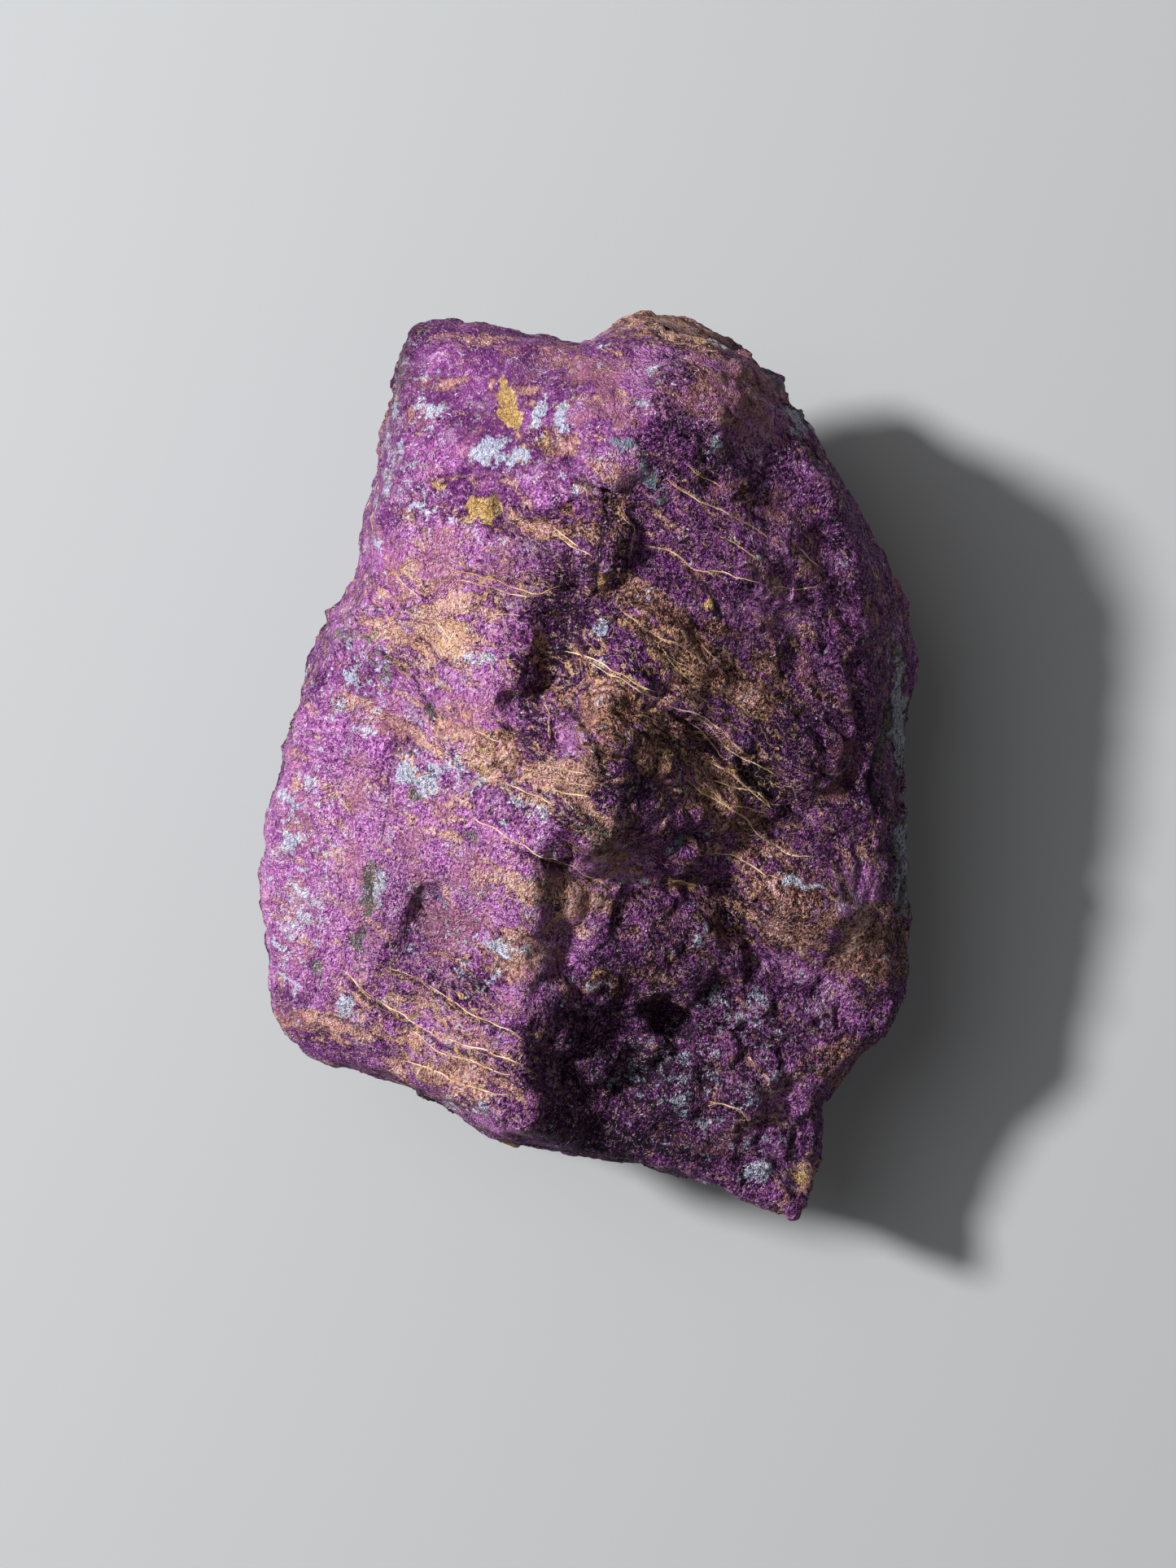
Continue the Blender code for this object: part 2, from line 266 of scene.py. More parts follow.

# Coloured zones of the side that the photo shows. Each is an oval in pixels of the photo:
# middle x and y, half length, half width, turn in degrees clockwise, and strength in percent
# Bright zones: a brighter violet, partly painted light that lifts shadowed places
BRIGHT_AND_PAINTED_LIGHT_ZONES = (
    (450, 1080, 130, 190, 80, 90), (400, 950, 60, 110, 20, 80), (530, 560, 38, 30, -40, 60),
    (650, 605, 48, 30, -12, 30), (750, 575, 26, 30, 0, 80), (690, 520, 120, 60, -20, 20),
    (780, 480, 30, 60, 10, 90), (560, 735, 26, 24, -60, 100), (500, 725, 30, 26, 0, 70),
    (555, 470, 60, 60, 0, 30), (590, 860, 60, 50, 20, 70), (550, 915, 50, 26, 20, 70),
    (700, 905, 34, 30, 50, 35), (630, 1240, 36, 24, 10, 100), (615, 1380, 40, 14, 15, 80),
    (980, 1172, 34, 14, 15, 70), (1022, 1228, 34, 16, 45, 90),
    (1010, 700, 60, 30, 60, 10), (530, 1170, 30, 50, 20, 70), (780, 1140, 46, 34, 0, 30),
    (590, 1090, 60, 60, 20, 90), (890, 1275, 34, 24, -20, 40),
    (900, 490, 60, 50, 0, 90), (600, 440, 130, 50, 0, 10),
    (570, 690, 110, 44, 12, 80), (470, 770, 60, 70, 0, 40), (520, 1270, 120, 60, 25, 50),
    (480, 560, 60, 120, 10, 30), (600, 780, 60, 40, 0, 60), (640, 1080, 40, 120, 0, 50),
    (755, 1060, 46, 32, 10, 120), (955, 755, 40, 30, 30, 70), (704, 1120, 36, 50, 0, 100),
    (655, 1180, 24, 60, 0, 80), (1055, 1120, 34, 44, 0, 80), (955, 1355, 34, 26, 0, 80),
    (505, 855, 40, 30, 0, 70),
)
# Deep zones: a deeper violet, partly painted shade on facets and hollows that lie in shadow
DEEP_AND_PAINTED_SHADE_ZONES = (
    (650, 855, 26, 64, -12, 90), (690, 700, 60, 42, 20, 40), (765, 680, 22, 70, 5, 30),
    (735, 1290, 66, 76, 0, 50), (830, 1258, 30, 17, -10, 100), (884, 1216, 24, 16, -30, 70),
    (910, 1120, 20, 40, -25, 90), (840, 700, 70, 36, 25, 20), (940, 960, 26, 44, -35, 200),
    (1000, 900, 60, 30, 60, 50), (850, 540, 40, 40, 0, 40), (780, 1330, 120, 34, 8, 70),
    (516, 1120, 34, 16, 106, 110), (500, 1165, 30, 17, 106, 120), (934, 457, 16, 11, 35, 100),
    (485, 1278, 26, 20, 0, 60), (566, 1314, 12, 10, 0, 90), (700, 1000, 40, 20, 10, 40),
    (805, 1305, 40, 26, 0, 130), (1040, 660, 24, 60, 10, 30), (760, 1400, 110, 26, 10, 130),
    (1050, 970, 30, 20, 20, 80), (640, 1000, 60, 14, 25, 40), (800, 1210, 60, 24, 10, 50),
    (780, 1140, 50, 40, 0, 40), (812, 912, 46, 34, 20, 40), (702, 762, 46, 24, 0, 90),
    (705, 808, 36, 30, 0, 150), (955, 905, 36, 24, 30, 90),
    (776, 806, 36, 32, 20, 80), (760, 972, 24, 24, 0, 80),
    (980, 600, 50, 40, 0, 20), (860, 560, 60, 60, 0, 20), (690, 690, 40, 24, 10, 60),
    (540, 1110, 34, 12, 80, 70), (562, 1203, 60, 20, 24, 80), (480, 1262, 38, 18, 30, 60),
)
BRONZE_ZONES = (
    (850, 800, 120, 50, 35, 100), (900, 985, 80, 34, 38, 90), (812, 910, 60, 50, 30, 120),
    (742, 880, 30, 70, 10, 120), (674, 820, 24, 44, 0, 110), (975, 1122, 76, 44, 12, 100),
    (1075, 1165, 44, 56, 20, 90), (1016, 1300, 40, 30, -20, 90), (900, 480, 66, 44, 25, 35),
    (820, 400, 90, 22, 12, 100), (612, 925, 30, 32, 20, 100), (700, 640, 44, 34, -5, 80),
    (750, 1030, 70, 26, 18, 80), (885, 1130, 48, 26, 40, 80), (690, 1100, 44, 20, 10, 90),
    (775, 1205, 48, 32, 10, 80), (800, 1150, 50, 24, 30, 50), (760, 640, 12, 60, 0, 60),
    (900, 612, 48, 15, 18, 60),
    (520, 1290, 110, 40, 26, 30), (640, 1155, 40, 34, 10, 40), (600, 720, 60, 22, 15, 30),
    (1000, 830, 60, 30, 45, 50), (940, 860, 60, 26, 30, 90), (895, 1388, 18, 12, 20, 60),
    (490, 430, 10, 60, 12, 40), (775, 524, 18, 6, -15, 100), (668, 545, 18, 18, 0, 80),
    (960, 640, 50, 20, 30, 30), (800, 750, 70, 34, 25, 90), (600, 1180, 60, 20, 10, 30),
)
TAN_ZONES = (
    (505, 697, 16, 10, 20, 100), (540, 745, 60, 22, 20, 60), (548, 785, 50, 36, 10, 130),
    (500, 790, 44, 30, 20, 80), (694, 966, 56, 30, 8, 130), (570, 918, 70, 22, 24, 70),
    (635, 1085, 34, 20, 20, 80), (640, 1170, 34, 26, 10, 60), (400, 1262, 40, 20, 25, 60),
    (900, 1038, 44, 12, 12, 50), (720, 840, 40, 30, 0, 50), (995, 1442, 28, 14, -10, 100),
    (690, 655, 30, 16, 20, 50), (655, 652, 40, 18, 0, 70), (558, 1040, 14, 8, 50, 80),
    (560, 1320, 80, 16, 18, 70), (440, 980, 40, 16, 30, 40), (915, 860, 34, 16, 30, 40),
    (705, 1105, 34, 22, 10, 50), (1055, 1150, 30, 30, 0, 50), (455, 1255, 34, 22, 20, 50),
    (960, 1140, 40, 20, 15, 30), (820, 398, 70, 16, 12, 90), (520, 1240, 90, 14, 30, 40),
)
ROSE_ZONES = (
    (680, 440, 44, 26, 0, 100), (740, 450, 40, 24, -20, 70), (755, 500, 30, 34, 0, 70),
    (550, 1140, 40, 26, 15, 80), (640, 1180, 36, 34, 10, 80), (490, 895, 34, 14, 10, 80),
    (900, 600, 60, 16, 18, 50), (520, 700, 60, 20, 10, 60), (600, 670, 80, 14, 10, 50),
    (385, 1255, 34, 20, 30, 60), (900, 480, 60, 50, 20, 100), (560, 890, 60, 26, 20, 50),
    (980, 810, 40, 20, 30, 40), (1040, 950, 34, 40, 0, 40), (440, 720, 20, 14, 0, 30),
)
OCHRE_ZONES = (
    (621, 480, 11, 22, -10, 90), (626, 515, 14, 20, 0, 100), (590, 625, 20, 14, -25, 100),
    (603, 630, 9, 14, 10, 100), (541, 600, 12, 7, 30, 80), (672, 543, 16, 12, 30, 50),
    (548, 770, 14, 16, 0, 50), (768, 636, 8, 16, -30, 60), (872, 741, 8, 14, 5, 80),
    (834, 1086, 24, 4, 0, 70), (731, 1194, 10, 4, 10, 70), (895, 946, 14, 4, 20, 70),
    (605, 500, 12, 6, 60, 50), (742, 708, 8, 12, 0, 50), (985, 1448, 14, 8, 0, 70),
    (496, 400, 8, 10, 0, 40), (488, 600, 8, 20, 10, 30), (1105, 1195, 10, 24, 10, 40),
)
PALE_ZONES = (
    (524, 508, 13, 9, 0, 90), (664, 511, 9, 23, 5, 100), (693, 518, 11, 23, 5, 100),
    (598, 558, 24, 19, -20, 90), (585, 560, 12, 14, 0, 70), (632, 562, 24, 11, -15, 90),
    (725, 555, 10, 5, -10, 90), (513, 614, 6, 14, 10, 70), (499, 946, 17, 14, 0, 125),
    (526, 960, 20, 12, -20, 125), (543, 948, 5, 12, 0, 80), (437, 832, 24, 12, 45, 70),
    (450, 890, 14, 5, 0, 70), (585, 808, 20, 9, 10, 80), (636, 986, 24, 8, 20, 70),
    (352, 1035, 7, 26, 5, 80), (375, 1116, 6, 10, 0, 90), (356, 1172, 7, 24, -15, 60),
    (465, 1098, 9, 22, 20, 80), (428, 1240, 10, 14, -20, 80), (612, 1160, 34, 8, 8, 80),
    (380, 962, 12, 5, 30, 70), (348, 985, 12, 12, 0, 60), (875, 547, 8, 9, 20, 100),
    (832, 491, 5, 4, 0, 80), (850, 690, 4, 8, -20, 90), (741, 816, 9, 4, 25, 100),
    (738, 772, 6, 8, 0, 80), (985, 1090, 28, 4, 16, 100), (728, 1204, 11, 4, 10, 100),
    (834, 1356, 14, 13, 30, 90), (870, 1380, 9, 9, 0, 70), (832, 1330, 10, 7, 0, 70),
    (930, 1434, 16, 14, 30, 90), (922, 1228, 14, 14, 0, 60), (888, 1226, 8, 8, 0, 60),
    (745, 1330, 12, 6, -10, 60), (778, 1315, 6, 7, 0, 50), (974, 522, 22, 8, 45, 100),
    (595, 1357, 14, 12, 20, 60), (550, 1355, 8, 8, 0, 60), (858, 1150, 6, 15, -35, 80),
    (756, 1081, 12, 5, 10, 80), (791, 1083, 8, 4, 0, 80), (790, 495, 14, 6, 60, 40),
    (500, 1095, 30, 10, 30, 40), (585, 1260, 30, 8, 20, 30), (714, 590, 12, 8, 30, 60),
    (940, 1330, 30, 20, 60, 30), (560, 640, 12, 6, 0, 50), (486, 500, 7, 26, 8, 60),
    (484, 580, 7, 26, 10, 60), (470, 660, 10, 20, 20, 40), (800, 448, 14, 8, -30, 50),
    (610, 1010, 30, 5, 24, 50), (536, 1110, 6, 22, -15, 50), (640, 855, 10, 6, 0, 30),
    (372, 1090, 44, 190, 8, 28), (490, 560, 50, 150, 10, 26), (450, 850, 60, 80, 20, 22),
    (560, 950, 50, 24, 25, 40), (640, 985, 50, 16, 20, 40), (560, 1180, 80, 40, 20, 25),
    (1104, 870, 10, 90, -2, 80), (1108, 1060, 9, 90, 4, 70), (850, 1330, 120, 70, 20, 28),
    (910, 1250, 60, 50, 20, 30), (1040, 1440, 40, 40, 0, 20),
)
TEAL_ZONES = (
    (762, 545, 22, 5, 32, 90), (783, 572, 9, 16, -15, 100), (797, 588, 8, 13, -20, 90),
    (810, 610, 8, 8, 0, 100), (824, 1028, 4, 12, 20, 90), (945, 472, 8, 20, -20, 80),
    (742, 813, 8, 3, 25, 70), (505, 1254, 12, 5, 30, 70), (833, 1362, 10, 8, 40, 80),
    (660, 508, 5, 14, 0, 50), (694, 512, 6, 12, 0, 50), (620, 562, 20, 8, -10, 50),
    (863, 1152, 6, 14, -30, 70), (690, 500, 4, 8, 0, 50), (541, 1105, 5, 24, -14, 60),
)
GREEN_ZONES = (
    (452, 1100, 10, 38, 10, 100), (441, 1160, 9, 26, 10, 100), (394, 1193, 7, 19, -8, 80),
    (506, 972, 12, 6, 20, 100), (578, 1028, 14, 9, 25, 90), (460, 815, 5, 11, 0, 90),
    (478, 830, 6, 12, 10, 90), (430, 783, 44, 14, 10, 70), (845, 1018, 12, 15, 20, 100),
    (1104, 860, 14, 100, -2, 90), (1108, 1060, 14, 90, 4, 90), (343, 1217, 9, 7, 0, 70),
    (530, 868, 5, 13, -20, 80), (720, 1015, 40, 20, 15, 50), (548, 1235, 16, 6, 30, 70),
    (490, 470, 7, 60, 8, 60), (478, 600, 8, 60, 12, 50), (530, 385, 16, 8, 10, 60),
    (640, 566, 18, 6, -15, 60), (560, 580, 14, 10, -50, 50), (402, 1075, 8, 18, 20, 50),
    (870, 955, 40, 12, 30, 40), (1085, 905, 12, 50, 10, 70), (447, 1045, 20, 8, 60, 30),
    (755, 600, 8, 10, 0, 50), (990, 555, 20, 30, -40, 40), (590, 1290, 26, 6, 20, 50),
    (660, 1090, 12, 34, 0, 50), (1060, 740, 12, 60, 8, 20), (1120, 1180, 14, 50, 8, 50),
)

# How rough the surface is, and how fibrous, in the same terms
ROUGH_ZONES = (
    (880, 1330, 150, 120, 10, 100), (730, 1290, 100, 110, 0, 90), (900, 500, 130, 110, 0, 60),
    (1000, 900, 200, 120, 80, 60), (840, 1150, 140, 80, 0, 70), (1050, 1250, 80, 60, 0, 80),
    (690, 720, 80, 60, 0, 60), (1105, 1050, 30, 170, 0, 80), (780, 970, 80, 60, 30, 60),
    (500, 1140, 80, 50, 90, 50), (760, 640, 30, 90, 0, 80), (490, 480, 20, 130, 10, 50),
)
FIBRE_ZONES = (
    (550, 770, 130, 70, 15, 90), (840, 890, 210, 90, 33, 100), (540, 1260, 150, 70, 26, 100),
    (695, 960, 70, 50, 10, 100), (620, 700, 100, 40, 12, 80), (900, 1120, 60, 50, 40, 80),
    (600, 920, 110, 50, 22, 70), (700, 1060, 120, 40, 24, 70), (880, 640, 110, 50, 28, 50),
)

# Where the surface is worn smooth
WORN_ZONES = (
    (590, 490, 150, 120, 0, 100), (460, 560, 70, 190, 12, 100), (360, 1080, 50, 240, 4, 60),
    (450, 830, 80, 70, 0, 60), (400, 1290, 90, 50, 20, 50), (740, 450, 70, 60, 0, 60),
)

# For each zone its ovals, how far it strays from them and, where the photo doesn't show the stone,
# a noise instead: size in mm, stretch along the bands or nought, seed, two levels and strength
ZONES = {
    "bright_and_painted_light": (BRIGHT_AND_PAINTED_LIGHT_ZONES, 2.0, (4.0, 0, 32, -0.2, 0.6, 1.0)),
    "deep_and_painted_shade": (DEEP_AND_PAINTED_SHADE_ZONES, 1.5, (4.0, 0, 32, 0.2, -0.6, 1.0)),
    "bronze": (BRONZE_ZONES, 2.0, (5.0, 3.0, 31, 0.0, 0.45, 1.0)),
    "tan": (TAN_ZONES, 1.5, (5.0, 3.0, 31, 0.3, 0.6, 0.7)),
    "rose": (ROSE_ZONES, 1.5, (4.0, 3.0, 33, 0.15, 0.5, 0.6)),
    "ochre": (OCHRE_ZONES, 1.0, (2.0, 2.0, 34, 0.5, 0.7, 0.8)),
    "pale": (PALE_ZONES, 1.0, (1.8, 1.6, 35, 0.4, 0.7, 0.8)),
    "teal": (TEAL_ZONES, 1.0, (1.8, 1.6, 36, 0.5, 0.7, 0.8)),
    "green": (GREEN_ZONES, 1.0, (5.0, 0, 37, 0.25, 0.6, 0.9)),
    "fibre": (FIBRE_ZONES, 1.5, (4.0, 3.0, 22, 0.0, 0.5, 1.0)),
}
ROUGH_STRAY = 1.5
HIDDEN_ROUGH = (0.6, 0.4, 6.0, 21)
HIDDEN_WORN = 0.3

# Relief that the photo shows: ovals as above, with a depth or height in hundredths of a mm
PITS = (
    (516, 1118, 30, 14, 106, 45), (499, 1166, 24, 13, 106, 40), (543, 1105, 20, 7, 75, 30),
    (455, 1100, 28, 9, 100, 60), (442, 1157, 20, 8, 100, 30), (394, 1193, 20, 9, 82, 35),
    (506, 972, 13, 8, 20, 45), (578, 1028, 15, 9, 25, 45), (460, 815, 12, 7, 90, 30),
    (478, 830, 13, 7, 90, 30), (843, 1018, 13, 10, -40, 40), (830, 1258, 26, 15, -10, 60),
    (884, 1216, 22, 14, -30, 40), (566, 1314, 11, 10, 0, 40), (472, 1205, 14, 9, 90, 30),
    (934, 457, 15, 10, 35, 70), (905, 1115, 40, 16, 60, 40), (940, 960, 36, 14, 55, 40),
    (700, 1325, 30, 16, 60, 40), (800, 1325, 40, 14, 10, 40), (745, 1275, 30, 14, -40, 40),
    (1050, 970, 24, 16, 20, 40), (655, 855, 60, 20, 75, 10), (620, 560, 10, 20, 0, 20),
    (672, 545, 16, 14, 30, 25), (720, 1350, 40, 12, -30, 40),
    (850, 1290, 26, 10, -20, 40), (660, 1270, 12, 50, 0, 30), (985, 1395, 12, 14, 20, 30),
)
KNOBS = (
    (857, 995, 10, 8, 0, 30), (848, 1008, 8, 7, 0, 25), (771, 524, 17, 6, -15, 40),
    (985, 1090, 28, 5, 16, 12), (741, 815, 10, 5, 25, 20), (650, 605, 50, 34, -12, 25),
    (872, 741, 9, 15, 5, 30), (975, 522, 22, 10, 45, 18), (946, 472, 10, 20, -20, 15),
    (931, 1433, 18, 16, 0, 30), (834, 1356, 17, 14, 30, 25), (590, 625, 20, 14, -25, 10),
    (706, 905, 24, 26, 50, 20), (756, 1081, 12, 6, 10, 15), (791, 1083, 9, 6, 0, 15),
    (728, 1204, 11, 5, 10, 15), (960, 1250, 40, 30, 0, 25), (920, 1380, 30, 24, 20, 30),
    (870, 1290, 30, 20, -20, 30), (700, 1215, 40, 16, -30, 25), (810, 612, 8, 8, 0, 15),
    (783, 572, 10, 16, -15, 15), (1010, 1140, 50, 26, 20, 30), (660, 460, 30, 14, 0, 15),
)

# Broad swells and hollows between the solid's facets, in the same terms
FORMS = (
    (722, 892, 34, 76, 5, -45), (800, 905, 68, 96, 10, 100), (725, 1105, 42, 105, 0, 120),
    (710, 1290, 42, 90, 0, 90), (802, 495, 30, 60, 0, -50), (850, 540, 50, 60, 0, 40),
    (905, 490, 46, 50, 0, 90), (760, 672, 12, 46, 8, 50), (644, 832, 18, 46, 0, 60),
    (832, 1030, 44, 40, 0, 110), (770, 1010, 40, 40, 0, 40), (662, 1155, 18, 80, 0, 35),
    (1030, 596, 70, 34, 57, 60),
)

# Cracks and raised edges: x and y of each point, half width in pixels, and depth or height as above
CRACKS = (
    ((745, 603, 742, 640, 736, 680, 730, 728), 3, 20),
    ((462, 798, 491, 818, 513, 837, 526, 864, 534, 880), 3, 40),
    ((575, 702, 590, 705, 615, 713, 648, 719), 4, 30),
    ((812, 410, 835, 416, 860, 420, 900, 430, 930, 444), 4, 35),
    ((606, 606, 614, 638), 5, 30),
    ((692, 862, 709, 882, 735, 922, 742, 950), 4, 30),
    ((820, 868, 860, 893, 900, 925, 930, 962), 5, 30),
    ((860, 905, 890, 935, 920, 955), 5, 25),
    ((770, 760, 810, 790, 850, 835), 5, 20),
    ((422, 1199, 456, 1230, 490, 1250, 546, 1283, 600, 1300), 4, 14),
    ((478, 1194, 512, 1207, 549, 1229, 579, 1252, 619, 1268), 4, 12),
    ((630, 1040, 669, 1059, 700, 1068, 740, 1090), 4, 25),
    ((604, 880, 640, 905, 668, 935), 5, 25),
    ((1094, 850, 1080, 905, 1070, 950, 1085, 1000), 6, 35),
    ((1100, 1030, 1108, 1090, 1102, 1150), 5, 30),
    ((705, 590, 730, 600, 748, 606), 4, 25),
    ((486, 905, 480, 945, 477, 990, 470, 1035), 2, 15),
    ((845, 700, 870, 725, 885, 760), 4, 20),
)
EDGES = (
    ((816, 452, 801, 480, 801, 497, 796, 523, 791, 545), 6, 12),
    ((701, 818, 675, 872, 675, 914, 667, 929), 6, 25),
    ((684, 852, 702, 880, 726, 920, 732, 950), 6, 25),
    ((1090, 845, 1074, 905, 1063, 947), 6, 30),
    ((739, 604, 737, 640, 731, 680, 725, 730), 6, 12),
    ((566, 640, 620, 640, 680, 622, 705, 606), 7, 25),
    ((945, 524, 968, 512, 990, 532), 6, 12),
    ((722, 797, 770, 826, 812, 850, 870, 877), 6, 20),
    ((850, 959, 891, 990, 923, 1019, 956, 1044, 1003, 1055), 6, 25),
    ((900, 1056, 960, 1080, 1030, 1100), 7, 25),
)

# Golden veins: x and y of each point, and the half width of the thread in thousandths of a mm
VEINS = (
    ((819, 587, 832, 600, 850, 610, 862, 616, 883, 625, 898, 633, 919, 643, 934, 653, 944, 663), 44),
    ((972, 666, 985, 676, 998, 691, 1008, 699), 31),
    ((842, 572, 860, 582, 875, 592, 888, 600), 35),
    ((850, 587, 873, 572), 26),
    ((791, 671, 814, 674, 834, 684, 850, 697, 868, 704, 880, 712), 35),
    ((868, 702, 885, 702, 903, 709, 924, 714, 936, 719), 31),
    ((695, 800, 718, 806, 750, 821, 771, 835, 791, 844, 812, 853), 40),
    ((724, 815, 768, 838, 797, 853, 833, 871, 862, 879, 885, 897, 897, 909, 918, 929), 40),
    ((856, 783, 874, 806, 885, 821), 31),
    ((818, 809, 838, 827, 856, 844), 26),
    ((868, 935, 891, 944, 903, 948), 40),
    ((871, 959, 903, 967, 929, 973), 31),
    ((929, 973, 944, 988, 947, 997), 35),
    ((844, 956, 868, 979, 891, 988, 912, 1003, 923, 1017, 938, 1032, 956, 1042, 973, 1050, 1003,
      1053), 40),
    ((844, 882, 868, 905, 885, 930), 31),
    ((553, 700, 588, 708, 615, 716, 641, 724, 660, 731, 679, 723, 695, 716), 44),
    ((560, 712, 600, 722, 640, 731, 662, 734), 26),
    ((682, 648, 695, 660, 712, 673), 35),
    ((583, 897, 600, 905, 617, 913), 31),
    ((579, 1005, 613, 1022, 641, 1039, 669, 1053, 697, 1061, 725, 1078, 760, 1100), 40),
    ((620, 960, 650, 975, 680, 990), 35),
    ((810, 1088, 835, 1083, 857, 1088), 35),
    ((422, 1193, 456, 1224, 490, 1244, 518, 1263, 546, 1277, 591, 1289, 641, 1308), 40),
    ((478, 1190, 512, 1202, 549, 1224, 579, 1247, 619, 1263, 647, 1277), 31),
    ((490, 1303, 523, 1311, 563, 1331, 596, 1342, 624, 1345), 40),
    ((540, 1290, 580, 1306, 630, 1322), 31),
    ((502, 1262, 535, 1290, 570, 1302), 26),
    ((870, 1352, 905, 1362, 921, 1378), 26),
    ((1016, 1100, 1034, 1110), 35),
    ((944, 1074, 959, 1081), 35),
    ((668, 862, 676, 880, 672, 900, 680, 915), 26),
    ((763, 628, 770, 642, 779, 650, 776, 668, 772, 690), 22),
    ((590, 765, 612, 755, 640, 757), 26),
    ((530, 760, 548, 778, 556, 800), 31),
    ((555, 755, 560, 772, 552, 790, 560, 806), 31),
    ((480, 700, 500, 720, 520, 738), 26),
    ((884, 660, 905, 668, 930, 690), 22),
    ((950, 720, 975, 724, 1005, 722), 22),
    ((680, 955, 705, 962, 728, 966), 31),
    ((670, 968, 700, 975, 726, 980), 31),
    ((672, 941, 700, 948, 722, 952), 26),
    ((848, 874, 872, 892, 896, 922, 932, 940, 956, 955), 26),
    ((860, 952, 884, 982, 920, 994, 944, 1000), 22),
    ((884, 940, 920, 970, 947, 994), 26),
    ((836, 1036, 872, 1048, 908, 1054, 944, 1078), 26),
    ((758, 742, 800, 778, 830, 790, 872, 820), 22),
    ((818, 808, 842, 817, 866, 832), 22),
    ((683, 658, 710, 676, 731, 685), 26),
)


def photo_place(points):
    """The pixel of the photo at which each point of the part shows."""
    centre = photo_centre()
    spread = (CAMERA_HEIGHT - SCALE_LEVEL) / (CAMERA_HEIGHT - points[:, 2])
    x = centre[0] + (points[:, 0] - centre[0]) * spread
    y = centre[1] + (points[:, 1] - centre[1]) * spread
    return ORIGIN_PX[0] + x * PX_PER_MM, ORIGIN_PX[1] - y * PX_PER_MM


def place_of_pixel(px, py):
    """The place in mm that a pixel shows, at the height where the photo's scale holds."""
    return (px - ORIGIN_PX[0]) / PX_PER_MM, (ORIGIN_PX[1] - py) / PX_PER_MM


def photo_centre():
    """The place in mm under the camera, which is above the photo's middle."""
    return place_of_pixel(PHOTO_SIZE[0] / 2, PHOTO_SIZE[1] / 2)


def noise_places(points, size, seed):
    """Where to look up a noise with lumps of that size in mm."""
    return (points / size + seed * SEED_SHIFT).tolist()


def smooth_noise(points, size, seed, octaves=2):
    """Noise with lumps of that size in mm, about -1 to 1."""
    return np.array([
        noise.fractal(place, NOISE_LOSS, NOISE_STEP, octaves, noise_basis="PERLIN_NEW")
        for place in noise_places(points, size, seed)
    ])


def stray(points, reaches, seed):
    return sum(
        reach * smooth_noise(points, size, seed + index)
        for index, (reach, size) in enumerate(reaches)
    )


def step(value, low, high):
    """Nought up to the low value, one from the high one on, and smooth between them."""
    share = np.clip((value - low) / (high - low), 0.0, 1.0)
    return share * share * (3 - 2 * share)


def oval(px, py, x, y, half_length, half_width, turn):
    """A soft oval: one at its middle and nought outside it."""
    c, s = math.cos(math.radians(turn)), math.sin(math.radians(turn))
    along = ((px - x) * c + (py - y) * s) / half_length
    across = ((py - y) * c - (px - x) * s) / half_width
    return np.exp(-((along * along + across * across) ** 1.5))


def oval_field(px, py, ovals):
    """The strongest of several soft ovals at each pixel."""
    field = np.zeros(px.shape)
    for *place, strength in ovals:
        field = np.maximum(field, strength / 100 * oval(px, py, *place))
    return field


def points_of(line):
    """The points of a line that is given by x and y in turn."""
    return list(zip(line[::2], line[1::2]))


def line_field(px, py, line, half_width):
    """One along a line, falling off to each side."""
    nearest = np.full(px.shape, np.inf)
    points = points_of(line)
    for (ax, ay), (bx, by) in zip(points, points[1:]):
        ex, ey = bx - ax, by - ay
        along = np.clip(((px - ax) * ex + (py - ay) * ey) / (ex * ex + ey * ey), 0.0, 1.0)
        nearest = np.minimum(nearest, np.hypot(px - ax - along * ex, py - ay - along * ey))
    return np.exp(-((nearest / half_width) ** 2))


def band_places(points):
    """Places along the bands, across them and up, in mm."""
    centre_x, centre_y = place_of_pixel(*BAND_CENTRE_PX)
    x, y = points[:, 0] - centre_x, points[:, 1] - centre_y
    places = np.stack((-np.arctan2(y, x) * BAND_RADIUS, np.hypot(x, y), points[:, 2]), axis=1)
    for seed, (size, reach) in enumerate(BAND_WANDER):
        for axis in range(3):
            places[:, axis] += reach * smooth_noise(points, size, 3 * seed + axis + 1)
    return places


def placed(name, data):
    piece = bpy.data.objects.new(name, data)
    bpy.context.scene.collection.objects.link(piece)
    return piece


def mesh_of(bm, name):
    mesh = bpy.data.meshes.new(name)
    bm.to_mesh(mesh)
    bm.free()
    return mesh


def fine_surface():
    """The solid's surface in mm, remade with small even cells and smoothed."""
    bm = bmesh.new()
    bm.from_mesh(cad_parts[STONE].data)
    bmesh.ops.scale(bm, vec=Vector((1 / MM, 1 / MM, 1 / MM)), verts=bm.verts)
    bmesh.ops.remove_doubles(bm, verts=bm.verts, dist=WELD)
    mesh = mesh_of(bm, "coarse_stone")
    coarse = placed("coarse_stone", mesh)
    cells = coarse.modifiers.new("cells", "REMESH")
    cells.mode = "VOXEL"
    cells.voxel_size = CELL
    cells.use_smooth_shade = True
    soften = coarse.modifiers.new("soften", "SMOOTH")
    soften.factor = SMOOTHING
    soften.iterations = SMOOTHING_ROUNDS
    evaluated = coarse.evaluated_get(bpy.context.evaluated_depsgraph_get())
    fine = bpy.data.meshes.new_from_object(evaluated)
    bpy.data.objects.remove(coarse)
    bpy.data.meshes.remove(mesh)
    fine.name = "purpurite"
    return fine


def read_vectors(items, name):
    values = np.empty(len(items) * 3)
    items.foreach_get(name, values)
    return values.reshape(-1, 3)


